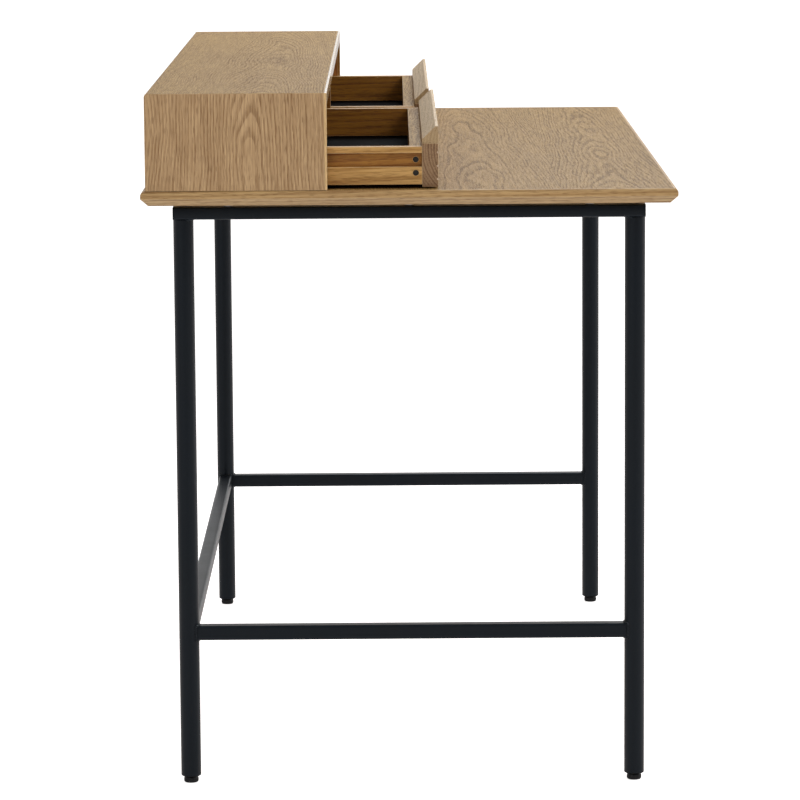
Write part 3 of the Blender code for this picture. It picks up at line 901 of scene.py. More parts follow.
def grip_ribs_group() -> bpy.types.NodeTree:
    """Make the group that sets upright ribs round the rim of a disc, for fingers to turn it by."""
    number = Kind.NUMBER
    inputs = {"Centre": Kind.PLACE, "Count": Kind.WHOLE, "Radius": number, "Rib": Kind.PLACE}
    tree, given, out = geometry_group("grip_ribs", inputs)
    inputs = {"Vertices": given["Count"], "Radius": given["Radius"]}
    ring = tree.add("GeometryNodeMeshCircle", inputs).outputs[0]
    rib = tree.add("GeometryNodeMeshCube", {"Size": given["Rib"]}).outputs[0]
    normal = tree.add("GeometryNodeInputPosition").outputs[0]
    turn = tree.add("FunctionNodeAlignRotationToVector", {"Vector": normal}, axis="X").outputs[0]
    inputs = {"Points": ring, "Instance": rib, "Rotation": turn}
    ribs = tree.add("GeometryNodeInstanceOnPoints", inputs).outputs[0]
    ribs = tree.add("GeometryNodeTransform", {"Geometry": ribs, "Translation": given["Centre"]}).outputs[0]
    both = tree.add("GeometryNodeJoinGeometry")
    tree.feed(both.inputs[0], ribs)
    tree.feed(both.inputs[0], given["Geometry"])
    return finish_group(tree, both.outputs[0], given["Finish"], out)


# ---------------------------------------------------------------- sub-assemblies


@dataclass
class Workshop:
    """What every sub-assembly needs: the fitter, the shader groups and the finishes."""

    fitter: Fitter = field(default_factory=Fitter)
    groups: Groups = field(default_factory=Groups)

    def __post_init__(self) -> None:
        """Mix the finishes."""
        shared = self.groups
        self.veneer = OakFinish(
            shared,
            (0.655, 0.525, 0.320),
            (0.480, 0.370, 0.205),
            ring_pitch=0.0029,
            taper=0.02,
            wander=0.028,
            turns=1.5,
            figure=0.44,
            streaks=1.6,
            roughness=0.62,
            specular=0.20,
            leaf=0.164,
        )
        self.top = OakFinish(
            shared,
            (0.695, 0.565, 0.360),
            (0.500, 0.380, 0.215),
            ring_pitch=0.0028,
            taper=0.03,
            wander=0.034,
            turns=1.8,
            figure=0.48,
            streaks=1.7,
            roughness=0.62,
            specular=0.20,
        )
        self.side = OakFinish(
            shared,
            (0.775, 0.645, 0.480),
            (0.560, 0.425, 0.280),
            # Warm painted shade on the cabinet's inner faces, standing in for light bounced around inside it
            painted_light_tint=(0.95, 0.75, 0.52),
            ring_pitch=0.0040,
            taper=0.04,
            wander=0.026,
            turns=6.0,
            figure=0.42,
            streaks=1.1,
        )
        self.solid = OakFinish(
            shared,
            (0.745, 0.610, 0.415),
            (0.560, 0.420, 0.255),
            # Paler and pinker: painted light bounced up from the floor, on the slab lipping's under-bevel
            painted_light_tint=(1.01, 1.05, 1.15),
            ring_pitch=0.0048,
            taper=0.02,
            wander=0.012,
            figure=0.5,
        )
        self.drawer = OakFinish(
            shared,
            (0.805, 0.635, 0.385),
            (0.605, 0.430, 0.205),
            # Darker, deeper painted shade on the faces inside the drawers and on the runner groove floors
            painted_light_tint=(0.79, 0.68, 0.41),
            ring_pitch=0.0052,
            taper=0.02,
            wander=0.016,
            figure=0.55,
        )
        self.lipping = OakFinish(
            shared,
            (0.810, 0.700, 0.530),
            (0.690, 0.570, 0.400),
            taper=0.02,
            figure=0.4,
            wear_and_highlight=0.4,
        )
        self.edge = OakFinish(
            shared,
            (0.920, 0.780, 0.550),
            (0.810, 0.660, 0.440),
            taper=0.02,
            figure=0.4,
            wear_and_highlight=0.4,
            coat=1.0,
            roughness=0.3,
        )
        self.front = OakFinish(
            shared,
            (0.760, 0.625, 0.460),
            (0.540, 0.400, 0.270),
            end_shade=(0.80, 0.78, 0.78),
            ring_pitch=0.0034,
            taper=0.02,
            wander=0.010,
            figure=0.7,
        )
        self.steel = CoatFinish(
            shared,
            "black_powder_coat",
            (0.045, 0.070, 0.095),
            (0.060, 0.075, 0.090),
            (0.13, 0.16, 0.19),
            roughness=0.38,
            specular=0.26,
            tint=(0.90, 0.95, 1.0),
        ).material()
        self.board = CoatFinish(
            shared,
            "black_board",
            (0.030, 0.030, 0.032),
            (0.040, 0.040, 0.042),
            (0.12, 0.115, 0.11),
            grain=1400.0,
            roughness=0.8,
            specular=0.02,
        ).material()
        self.nylon = CoatFinish(
            shared,
            "black_nylon",
            (0.060, 0.065, 0.075),
            (0.075, 0.080, 0.090),
            (0.16, 0.16, 0.17),
            grain=700.0,
            roughness=0.45,
            specular=0.3,
        ).material()
        self.zinc = CoatFinish(
            shared,
            "zinc_plate",
            (0.72, 0.73, 0.76),
            (0.78, 0.78, 0.78),
            (0.85, 0.85, 0.87),
            grain=600.0,
            roughness=0.32,
            metallic=0.6,
        ).material()
        self.oxide = CoatFinish(
            shared,
            "black_oxide",
            (0.070, 0.065, 0.060),
            (0.100, 0.090, 0.080),
            (0.23, 0.22, 0.19),
            grain=1200.0,
            roughness=0.40,
            specular=0.3,
        ).material()


@dataclass
class Desktop:
    """The slab: a veneered board with a solid oak lipping mitred round it."""

    shop: Workshop
    arris: float = 0.005
    arris_steps: int = 8
    under_bevel: float = 0.009
    glue_line: float = 0.00008
    eased: float = 0.0003

    def build(self) -> None:
        """Make the board and the lippings of its four edges."""
        low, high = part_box("desktop")
        fitter = self.shop.fitter
        centre = (low + high) / 2
        oak = self.shop.veneer.material("desktop", Grain.LENGTH, centre, (0.35, 0.02, 0.052))
        fitter.fit("desktop_board", self._board(low, high), oak, "frame", ["desktop"], "desktop_oak")
        edges = {
            "left": (Axis.Y, -1, Grain.DEPTH, (0.1, 0.03, 0.11)),
            "right": (Axis.Y, 1, Grain.DEPTH, (1.3, -0.03, 0.10)),
            "front": (Axis.X, -1, Grain.LENGTH, (2.2, 0.09, 0.05)),
            "rear": (Axis.X, 1, Grain.LENGTH, (3.1, 0.08, -0.06)),
        }
        for label, (axis, side, grain, heart) in edges.items():
            name = f"desktop_{label}_lipping"
            oak = self.shop.solid.material(name, grain, self._edge_centre(axis, side, high), heart)
            fitter.fit(name, self._lipping(name, axis, side, low, high), oak, "frame", [], "desktop_oak")

    def _edge_centre(self, axis: Axis, side: int, high: Vector) -> Vector:
        """Find the middle of an edge."""
        across = axis.value[1]
        return axis.point(0.0, side * high[across], high.z)

    def _board(self, low: Vector, high: Vector) -> bpy.types.Mesh:
        """Make the board, whose sides lean in to where the under-bevel starts."""
        bm = block(low, high)
        top_inset = self.arris + self.glue_line
        foot_inset = self.under_bevel + self.glue_line
        for vert in bm.verts:
            inset = top_inset if vert.co.z > (low.z + high.z) / 2 else foot_inset
            vert.co.x -= math.copysign(inset, vert.co.x)
            vert.co.y -= math.copysign(inset, vert.co.y)
        ease_edges(bm, self.eased / 2, 1)
        return to_mesh(bm, "desktop_board")

    def _lipping(self, name: str, axis: Axis, side: int, low: Vector, high: Vector) -> bpy.types.Mesh:
        """Make one edge's lipping, mitred at both ends."""
        radius = self.arris
        bend = arc((radius, high.z - radius), radius, 90, 180, self.arris_steps)
        outline = [*bend, (0.0, low.z + self.under_bevel), (self.under_bevel, low.z)]
        half_run, half_width = (high[index] for index in axis.value[:2])
        bm = prism(outline, axis, 0.0, 1.0)
        along, across = axis.value[:2]
        for vert in bm.verts:
            inset = vert.co[across]
            end = half_run - inset - self.glue_line
            vert.co[along] = end if vert.co[along] > 0.5 else -end
            vert.co[across] = side * (half_width - inset)
        ease_edges(bm, self.eased / 2, 1)
        mesh = to_mesh(bm, name)
        # The under-bevel is painted paler and pinker, as light bounced up from the floor
        mark_painted_light(mesh, lambda centre, normal: float(-0.9 < normal.z < -0.3))
        return mesh


@dataclass
class Cabinet:
    """The low cabinet: a mitred shell with lipped front edges, a back and a divider."""

    shop: Workshop
    lipping: float = 0.0032
    rear_round: float = 0.0040
    round_steps: int = 6
    eased: float = 0.0005
    front_eased: float = 0.0012
    mitre_gap: float = 0.0001
    # How much painted shade the faces that look into the cabinet take
    inside: float = 1.0

    def build(self) -> None:
        """Make the shell's three panels with their lippings, and the back and the divider."""
        top_low, self.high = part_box("cabinet_top")
        side_low, side_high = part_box("cabinet_left_side")
        self.low = Vector((top_low.x, top_low.y, side_low.z))
        self.panel = side_high.x - side_low.x
        self._side("left", -1, (0.073, 0.020, 0.020))
        self._side("right", 1, (0.8, 0.03, -0.025))
        self._top()
        self._inner("cabinet_divider", Grain.DEPTH, (0.4, 0.03, 0.09))
        self._inner("cabinet_back", Grain.LENGTH, (1.7, 0.06, 0.04))

    def _outline(self, foot: float) -> list[Point]:
        """List the (Y, Z) outline of the shell above a height, its upper rear corner rounded."""
        radius = self.rear_round
        bend = arc((self.high.y - radius, self.high.z - radius), radius, 0, 90, self.round_steps)
        return [(self.low.y, foot), (self.high.y, foot), *bend, (self.low.y, self.high.z)]

    def _split(self, name: str, bm: bmesh.types.BMesh, finishes: Sequence[Any], widths: Point) -> None:
        """Part a panel from its front lipping, and fit both.

        Args:
            name: The panel's name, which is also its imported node's.
            bm: The panel with its lipping, in one.
            finishes: The materials of the panel and of the lipping.
            widths: How far the edges of the panel and of the lipping are eased.
        """
        seam = self.low.y + self.lipping
        pieces = ((name, -1.0, [name]), (f"{name}_lipping", 1.0, []))
        for (label, keep, nodes), finish, width in zip(pieces, finishes, widths):
            part = bm.copy()
            mitre(part, (0.0, seam, 0.0), (0.0, keep, 0.0))
            ease_edges(part, width)
            mesh = to_mesh(part, label)
            mark_painted_light(mesh, self._painted_shade)
            self.shop.fitter.fit(label, mesh, finish, "frame", nodes, "cabinet_oak")
        bm.free()

    def _painted_shade(self, centre: Vector, normal: Vector) -> float:
        """Tell how much painted shade a face takes: the ones that look into the cabinet are painted darker.
        """
        middle = Vector((0.0, self.high.y, (self.low.z + self.high.z) / 2))
        sunk = abs(centre.x) < self.high.x - self.panel / 2 and centre.z < self.high.z - self.panel / 2
        return self.inside if sunk and normal.dot(middle - centre) > 0.0 and abs(normal.y) < 0.5 else 0.0

    def _side(self, label: str, side: int, heart: Place) -> None:
        """Make one end of the shell, its fibres upright."""
        outer, inner = side * self.high.x, side * (self.high.x - self.panel)
        bm = prism(self._outline(self.low.z), Axis.X, min(outer, inner), max(outer, inner))
        corner = (outer, 0.0, self.high.z - self.mitre_gap)
        mitre(bm, corner, (-side, 0.0, 1.0))
        name = f"cabinet_{label}_side"
        centre = Vector((outer, (self.low.y + self.high.y) / 2, (self.low.z + self.high.z) / 2))
        panel = self.shop.side.material(name, Grain.HEIGHT, centre, heart)
        strip = self.shop.edge.material(name + "_lipping", Grain.HEIGHT, centre, (0.3, 0.2, 0.1))
        self._split(name, bm, (panel, strip), (self.eased, self.eased))

    def _top(self) -> None:
        """Make the top of the shell, its fibres along its length."""
        bm = prism(self._outline(self.high.z - self.panel), Axis.X, -self.high.x, self.high.x)
        for side in (-1, 1):
            mitre(bm, (side * (self.high.x - self.mitre_gap), 0.0, self.high.z), (side, 0.0, -1.0))
        centre = Vector((0.0, (self.low.y + self.high.y) / 2, self.high.z))
        panel = self.shop.top.material("cabinet_top", Grain.LENGTH, centre, (1.1, 0.03, 0.04))
        strip = self.shop.edge.material("cabinet_top_lipping", Grain.LENGTH, centre, (0.7, 0.2, 0.1))
        self._split("cabinet_top", bm, (panel, strip), (self.eased, self.front_eased))

    def _inner(self, name: str, grain: Grain, heart: Place) -> None:
        """Make the back or the divider as a board with eased edges."""
        low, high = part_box(name)
        bm = block(low, high)
        ease_edges(bm, self.eased)
        oak = self.shop.top.material(name, grain, (low + high) / 2, heart)
        mesh = to_mesh(bm, name)
        # The faces that look into the cabinet are painted darker, as shade
        mark_painted_light(mesh, lambda centre, normal: self.inside if normal.y < 0.5 else 0.0)
        self.shop.fitter.fit(name + "_panel", mesh, oak, "frame", [name], "cabinet_oak")


@dataclass
class DrawerRunners:
    """The oak runners that the drawers hang on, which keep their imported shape."""

    shop: Workshop

    def build(self) -> None:
        """Dress the four runners."""
        names = [f"runner_{bay}_{side}" for bay in ("left", "right") for side in ("outer", "inner")]
        for index, name in enumerate(names):
            low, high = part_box(name)
            oak = self.shop.drawer.material(name, Grain.DEPTH, (low + high) / 2, (0.3 * index, 0.05, 0.06))
            self.shop.fitter.dress(name, oak)


@dataclass
class Drawer:
    """One drawer: a grooved front with a sloped lipping, and a box with grooved sides."""

    shop: Workshop
    label: str
    grooves: bpy.types.NodeTree
    screws: bpy.types.NodeTree
    eased: float = 0.0005
    front_eased: float = 0.0004
    groove_count: int = 3
    groove_pitch: float = 0.0162
    groove_first: float = 0.0095
    groove_width: float = 0.0032
    groove_depth: float = 0.0018
    lipping_land: float = 0.0035
    lipping_foot: float = 0.005
    runner_groove: float = 0.0055
    runner_groove_low: float = 0.0216
    runner_groove_high: float = 0.0382
    # Share of the drawer's painted shade that the runner groove's floor takes
    groove_painted_shade: float = 0.95
    head_radius: float = 0.0036
    head_depth: float = 0.0022
    hole_clearance: float = 0.0003
    head_sunk: float = 0.0004
    recess_arm: float = 0.0021
    recess_width: float = 0.0010
    recess_depth: float = 0.0012
    head_rim: float = 0.0003
    shank_share: float = 0.5
    length_in_heads: float = 4.0
    screw_sides: int = 32
    drill_above: float = 0.002
    drill_below: float = 0.001
    groove_overrun: float = 1.01
    right_log_shift: float = 0.9

    def build(self) -> None:
        """Make every piece of the drawer."""
        self.body = f"{self.label}_drawer"
        self.mirror = -1 if self.label == "left" else 1
        self._front()
        self._lipping()
        self._sides()
        self._inner_boards()
        self.shop.fitter.dress(self.body + "_bottom", self.shop.board)
        self._screws()

    def _node(self, part: str) -> tuple[str, Vector, Vector, Vector]:
        """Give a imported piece's name, its two corners and its centre."""
        name = f"{self.body}_{part}"
        low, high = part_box(name)
        return name, low, high, (low + high) / 2

    def _oak(
        self, finish: OakFinish, name: str, grain: Grain, centre: Vector, heart: Place
    ) -> bpy.types.Material:
        """Make a piece's oak, cut further along the log for the right drawer than for the left."""
        along = heart[0] + (self.right_log_shift if self.mirror > 0 else 0.0)
        return finish.material(name, grain, centre, (along, heart[1], heart[2]))

    def _front(self) -> None:
        """Make the front board with its row of finger grooves."""
        name, low, high, centre = self._node("front")
        oak = self._oak(self.shop.front, name, Grain.LENGTH, centre, (0.2, 0.06, -0.02))
        bm = block(low, high)
        values = {
            "First Groove": (centre.x, low.y, low.z + self.groove_first),
            "Count": self.groove_count,
            "Pitch": self.groove_pitch,
            "Length": (high.x - low.x) * self.groove_overrun,
            "Width": self.groove_width,
            "Depth": self.groove_depth,
            "Finish": oak,
        }
        mesh = through_nodes(name + "_board", to_mesh(bm, name), self.grooves, values, self.front_eased)
        self.shop.fitter.fit(name + "_board", mesh, oak, self.body, [name], "front_board")

    def _lipping(self) -> None:
        """Make the strip on the front's top edge, sloped for the fingers."""
        name, low, high, centre = self._node("lipping")
        outline = [
            (low.y, low.z),
            (high.y, low.z),
            (high.y, low.z + self.lipping_foot),
            (low.y + self.lipping_land, high.z),
            (low.y, high.z),
        ]
        bm = prism(outline, Axis.X, low.x, high.x)
        ease_edges(bm, self.front_eased)
        oak = self._oak(self.shop.lipping, name, Grain.LENGTH, centre, (1.5, 0.14, 0.02))
        self.shop.fitter.fit(name + "_strip", to_mesh(bm, name), oak, self.body, [name], "front_lipping")

    def _side_outline(self, low: Vector, high: Vector, outward: int) -> list[Point]:
        """List the (X, Z) outline of a side: runner groove outside, slot for the bottom inside."""
        outer, inner = (high.x, low.x) if outward > 0 else (low.x, high.x)
        _, bottom_low, bottom_high, _ = self._node("bottom")
        sunk = outer - outward * self.runner_groove
        reach = bottom_high.x if outward > 0 else bottom_low.x
        slot = reach + outward * self.hole_clearance
        under, over = bottom_low.z - self.hole_clearance, bottom_high.z + self.hole_clearance
        first, second = low.z + self.runner_groove_low, low.z + self.runner_groove_high
        inside = [(inner, low.z), (inner, under), (slot, under), (slot, over), (inner, over), (inner, high.z)]
        outside = [(outer, high.z), (outer, second), (sunk, second), (sunk, first), (outer, first)]
        return [*inside, *outside, (outer, low.z)]

    def _sides(self) -> None:
        """Make the two sides, drilled and countersunk for their screws."""
        for part, outward in (("outer", self.mirror), ("inner", -self.mirror)):
            name, low, high, centre = self._node(part + "_side")
            bm = prism(self._side_outline(low, high, outward), Axis.Y, low.y, high.y)
            ease_edges(bm, self.eased)
            mesh = drilled(to_mesh(bm, name), self._drill(part, outward))
            sunk = (high.x if outward > 0 else low.x) - outward * self.runner_groove
            # The inner face and the runner groove's floor are painted darker, as shade
            mark_painted_light(mesh, self._side_painted_shade(outward, sunk))
            heart = (0.6, 0.05, 0.03) if part == "outer" else (2.4, 0.06, 0.04)
            oak = self._oak(self.shop.drawer, name, Grain.DEPTH, centre, heart)
            self.shop.fitter.fit(name + "_board", mesh, oak, self.body, [name], "drawer_wood")

    def _side_painted_shade(self, outward: int, sunk: float) -> Callable[[Vector, Vector], float]:
        """Give the rule of the painted shade: a side's inner face takes it in full and its runner groove's
        floor in part.
        """

        def shade(centre: Vector, normal: Vector) -> float:
            """Tell how much painted shade a face of the side takes."""
            if normal.x * outward < -0.5:
                return 1.0
            return self.groove_painted_shade if abs(centre.x - sunk) < self.eased else 0.0

        return shade

    def _drill(self, part: str, outward: int) -> bpy.types.Mesh:
        """Make the shapes that two countersunk screws are let in by."""
        whole = bmesh.new()
        radius = self.head_radius + self.hole_clearance
        above, tip = self.drill_above, -self.head_depth - self.drill_below
        profile = [(0.0, above), (radius, above), (radius, -self.head_sunk), (0.0, tip)]
        for level in ("upper", "lower"):
            low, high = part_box(f"{self.label}_{part}_{level}_screw")
            centre = (low + high) / 2
            face = high.x if outward > 0 else low.x
            bm = turned(profile, self.screw_sides)
            turn = Matrix.Rotation(outward * math.pi / 2, 4, "Y")
            seat = Matrix.Translation((face, centre.y, centre.z)) @ turn
            bmesh.ops.transform(bm, verts=bm.verts, matrix=seat)
            add_part(whole, bm)
        return to_mesh(whole, "drill")

    def _inner_boards(self) -> None:
        """Make the inner front, slotted for the bottom, and the back."""
        name, low, high, centre = self._node("inner_front")
        _, bottom_low, bottom_high, _ = self._node("bottom")
        slot = bottom_low.y - self.hole_clearance
        under, over = bottom_low.z - self.hole_clearance, bottom_high.z + self.hole_clearance
        outline = [(low.y, low.z), (high.y, low.z), (high.y, under), (slot, under), (slot, over)]
        outline += [(high.y, over), (high.y, high.z), (low.y, high.z)]
        bm = prism(outline, Axis.X, low.x, high.x)
        ease_edges(bm, self.eased)
        oak = self._oak(self.shop.top, name, Grain.LENGTH, centre, (0.9, 0.05, 0.06))
        mesh = to_mesh(bm, name)
        # The inner front's face towards the drawer is painted darker, as shade
        mark_painted_light(mesh, lambda centre, normal: float(normal.y > 0.5))
        self.shop.fitter.fit(name + "_board", mesh, oak, self.body, [name], "drawer_wood")
        name, low, high, centre = self._node("back")
        bm = block(low, high)
        ease_edges(bm, self.eased)
        oak = self._oak(self.shop.drawer, name, Grain.LENGTH, centre, (1.9, 0.04, 0.05))
        mesh = to_mesh(bm, name)
        # The back's face towards the drawer is painted darker, as shade
        mark_painted_light(mesh, lambda centre, normal: float(normal.y < -0.5))
        self.shop.fitter.fit(name + "_board", mesh, oak, self.body, [name], "drawer_wood")

    def _screw(self) -> bpy.types.Mesh:
        """Make one countersunk screw along +X, its face at the origin, with a cross recess."""
        radius, rim, shank = self.head_radius, self.head_rim, self.head_radius * self.shank_share
        length = self.head_depth * self.length_in_heads
        profile = [(0.0, 0.0), (radius - rim, 0.0), (radius, -rim)]
        profile += [(shank, -self.head_depth), (shank, -length), (0.0, -length)]
        head = to_mesh(turned(profile, self.screw_sides), "screw")
        arm, half = self.recess_arm, self.recess_width / 2
        cross = bmesh.new()
        for reach, width in ((arm, half), (half, arm)):
            corner = (reach, width, self.recess_depth)
            add_part(cross, block([-size for size in corner], corner))
        union = to_mesh(cross, "bit")
        mesh = drilled(head, union)
        mesh.transform(Matrix.Rotation(-math.pi / 2, 4, "Y"))
        return mesh

    def _screws(self) -> None:
        """Set the four screws, two in each side."""
        centre = self._node("front")[-1]
        places = {}
        for level in ("upper", "lower"):
            near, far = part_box(f"{self.label}_outer_{level}_screw")
            spot = (near + far) / 2
            face = abs((far.x if self.mirror > 0 else near.x) - centre.x)
            places[level] = (-face + self.head_sunk, 0.0, spot.z)
            row = spot.y
        sides, levels = ("outer", "inner"), ("upper", "lower")
        nodes = [f"{self.label}_{side}_{level}_screw" for side in sides for level in levels]
        values = {
            "Centre": (centre.x, row, 0.0),
            "Upper": places["upper"],
            "Lower": places["lower"],
            "Finish": self.shop.oxide,
        }
        name = self.body + "_screws"
        mesh = through_nodes(name, self._screw(), self.screws, values)
        self.shop.fitter.fit(name, mesh, self.shop.oxide, self.body, nodes, "screws", smooth=True)


@dataclass
class SteelFrame:
    """The welded frame: round legs, box-section rails and stretchers, weld beads and spacers."""

    shop: Workshop
    beads: bpy.types.NodeTree
    grid: bpy.types.NodeTree
    wall: float = 0.0015
    rail_corner: float = 0.0020
    stretcher_corner: float = 0.0018
    leg_sides: int = 64
    tube_chamfer: float = 0.0003
    bead_radius: float = 0.0011
    fillet_radius: float = 0.0019
    bead_pitch: float = 0.0010
    bead_variation: float = 0.16
    bead_arc: float = 66.0
    plate_recess: float = 0.0006
    plate_thickness: float = 0.002
    spacer_bore: float = 0.003
    spacer_chamfer: float = 0.0005
    spacer_sides: int = 32
    spacer_rows: int = 3
    cope_steps: int = 6
    bead_steps: int = 16
    rail_weld_steps: int = 4

    def build(self) -> None:
        """Make the legs, rails, stretchers, weld beads and spacers."""
        self.leg_low, self.leg_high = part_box("leg_front_left")
        self.radius = (self.leg_high.x - self.leg_low.x) / 2
        self.x = -(self.leg_low.x + self.leg_high.x) / 2
        self.y = -(self.leg_low.y + self.leg_high.y) / 2
        self._legs()
        self._rails()
        self._stretchers()
        self._beads()
        self._spacers()

    def _fit(self, name: str, bm: bmesh.types.BMesh, nodes: Sequence[str], smooth: bool = True) -> None:
        """Fit a piece of black steel."""
        self.shop.fitter.fit(name, to_mesh(bm, name), self.shop.steel, "frame", nodes, "frame_steel", smooth)

    def _legs(self) -> None:
        """Make the four round legs, their ends slightly chamfered."""
        low, high, edge = self.leg_low.z, self.leg_high.z, self.tube_chamfer
        outer, bore = self.radius, self.radius - self.wall
        profile = [(bore, high), (outer - edge, high), (outer, high - edge)]
        profile += [(outer, low + edge), (outer - edge, low), (bore, low)]
        for row, side_y in (("front", -1), ("rear", 1)):
            for end, side_x in (("left", -1), ("right", 1)):
                bm = turned(profile, self.leg_sides, (side_x * self.x, side_y * self.y))
                self._fit(f"leg_{row}_{end}_tube", bm, [f"leg_{row}_{end}"])

    def _box_tube(self, low: Vector, high: Vector, axis: Axis, corner: float) -> bmesh.types.BMesh:
        """Make a straight box section that fills a box along one axis."""
        along, across, up = axis.value
        width, height = high[across] - low[across], high[up] - low[up]
        middle = (low + high) / 2
        outer = rounded_rectangle(width, height, corner)
        inner = rounded_rectangle(width - 2 * self.wall, height - 2 * self.wall, corner / 2)

        def place(end: int, point: Point) -> Vector:
            """Place an outline point at the low or the high end."""
            run = (low, high)[end][along]
            return axis.point(run, middle[across] + point[0], middle[up] + point[1])

        return sleeve(outer, inner, place)

    def _rails(self) -> None:
        """Make the four rails under the slab, and the plates that close the end rails."""
        for node, axis in (
            ("end_rail_left", Axis.Y),
            ("end_rail_right", Axis.Y),
            ("long_rail_front", Axis.X),
            ("long_rail_rear", Axis.X),
        ):
            low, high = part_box(node)
            self._fit(f"{node}_tube", self._box_tube(low, high, axis, self.rail_corner), [node])
            if axis is Axis.Y:
                self._plates(node, low, high)

    def _plates(self, node: str, low: Vector, high: Vector) -> None:
        """Close both ends of an end rail with a plate let in flush with its rim."""
        whole = bmesh.new()
        width, height = high.x - low.x - 2 * self.wall, high.z - low.z - 2 * self.wall
        middle = (low + high) / 2
        corners = rounded_rectangle(width, height, self.rail_corner / 2)
        outline = [(middle.x + u, middle.z + v) for u, v in corners]
        for side in (-1, 1):
            face = side * (high.y - self.plate_recess)
            ends = sorted((face, face - side * self.plate_thickness))
            add_part(whole, prism(outline, Axis.Y, *ends))
        self._fit(f"{node}_end_plates", whole, [])

    def _coped(self, low: Vector, high: Vector, axis: Axis, leg: float, row: float) -> bmesh.types.BMesh:
        """Make a stretcher whose ends are shaped to the legs that they meet.

        Args:
            low: The stretcher's lowest corner.
            high: Its highest corner.
            axis: The way that it runs.
            leg: How far the legs' centres are from the middle, along the stretcher.
            row: Where the legs' centres are, across it.

        Returns:
            The stretcher.
        """
        height = high.z - low.z
        middle = (low.z + high.z) / 2
        outer = rounded_rectangle(height, height, self.stretcher_corner, self.cope_steps)
        hollow = height - 2 * self.wall
        inner = rounded_rectangle(hollow, hollow, self.stretcher_corner / 2, self.cope_steps)

        def place(end: int, point: Point) -> Vector:
            """Place an outline point where it meets the leg."""
            cope = math.sqrt(self.radius**2 - point[0] ** 2)
            run = (leg - cope) * (1 if end else -1)
            return axis.point(run, row + point[0], middle + point[1])

        return sleeve(outer, inner, place)

    def _stretchers(self) -> None:
        """Make the two end stretchers and the rear one."""
        for end, side in (("left", -1), ("right", 1)):
            node = f"end_stretcher_{end}"
            low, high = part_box(node)
            self._fit(f"{node}_tube", self._coped(low, high, Axis.Y, self.y, side * self.x), [node])
        low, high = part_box("rear_stretcher")
        self.stretcher_low, self.stretcher_high = low, high
        self._fit("rear_stretcher_tube", self._coped(low, high, Axis.X, self.x, self.y), ["rear_stretcher"])

    def _cope_path(self, axis: Axis, leg: float, row: float, inward: int) -> list[Vector]:
        """List the points where a stretcher's corner edge meets a leg."""
        size = self.stretcher_high.z - self.stretcher_low.z
        middle = (self.stretcher_high.z + self.stretcher_low.z) / 2
        points = []
        for across, up in rounded_rectangle(size, size, self.stretcher_corner, self.cope_steps):
            cope = math.sqrt(self.radius**2 - across**2)
            points.append(axis.point(leg + inward * cope, row + across, middle + up))
        return points

    def _paths(self) -> list[tuple[list[Vector], float]]:
        """List the weld paths, each with its radius; the larger welds go right round a stretcher."""
        paths: list[tuple[list[Vector], float]] = []
        rail_low, rail_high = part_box("long_rail_front")
        for side_x in (-1, 1):
            for side_y in (-1, 1):
                inward = 90.0 * -side_y
                first, last = inward - self.bead_arc, inward + self.bead_arc
                bend = arc((side_x * self.x, side_y * self.y), self.radius, first, last, self.bead_steps)
                paths.append(([Vector((*spot, self.leg_high.z)) for spot in bend], self.bead_radius))
                around = self._cope_path(Axis.Y, side_y * self.y, side_x * self.x, -side_y)
                paths.append((around, self.fillet_radius))
                width, height = rail_high.y - rail_low.y, rail_high.z - rail_low.z
                middle = (rail_low.z + rail_high.z) / 2
                loop = rounded_rectangle(width, height, self.rail_corner, self.rail_weld_steps)
                face = side_x * rail_high.x
                spots = [Vector((face, side_y * self.y + u, middle + v)) for u, v in loop]
                shown = [spot for spot in spots if spot.z < rail_high.z - self.rail_corner]
                paths.append((shown, self.bead_radius))
            paths.append((self._cope_path(Axis.X, side_x * self.x, self.y, -side_x), self.fillet_radius))
        return paths

    def _beads(self) -> None:
        """Lay the weld beads along every joint that shows."""
        wires = bmesh.new()
        layer = wires.verts.layers.float.new(BEAD_ATTRIBUTE)
        for points, radius in self._paths():
            verts = [wires.verts.new(point) for point in points]
            for vert in verts:
                vert[layer] = radius
            pairs = list(zip(verts, verts[1:]))
            if radius == self.fillet_radius:
                pairs.append((verts[-1], verts[0]))
            for pair in pairs:
                wires.edges.new(pair)
        base = bpy.data.meshes.new("weld_paths")
        wires.to_mesh(base)
        wires.free()
        values = {"Pitch": self.bead_pitch, "Variation": self.bead_variation, "Finish": self.shop.steel}
        mesh = through_nodes("weld_beads", base, self.beads, values)
        self.shop.fitter.fit("weld_beads", mesh, self.shop.steel, "frame", [], "frame_steel", smooth=True)

    def _spacers(self) -> None:
        """Set the zinc spacers between the end rails and the slab."""
        low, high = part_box("spacer_left_rear")
        radius, height = (high.x - low.x) / 2, high.z - low.z
        edge = self.spacer_chamfer
        profile = [(self.spacer_bore, height), (radius - edge, height), (radius, height - edge)]
        profile += [(radius, edge), (radius - edge, 0.0), (self.spacer_bore, 0.0)]
        values = {
            "Span": -(low.x + high.x),
            "Pitch": (low.y + high.y) / 2,
            "Rows": self.spacer_rows,
            "Height": low.z,
            "Finish": self.shop.zinc,
        }
        washer = to_mesh(turned(profile, self.spacer_sides), "spacer")
        mesh = through_nodes("spacers", washer, self.grid, values)
        nodes = [f"spacer_{end}_{row}" for end in ("left", "right") for row in ("front", "middle", "rear")]
        self.shop.fitter.fit("spacers", mesh, self.shop.zinc, "frame", nodes, "spacers", smooth=True)


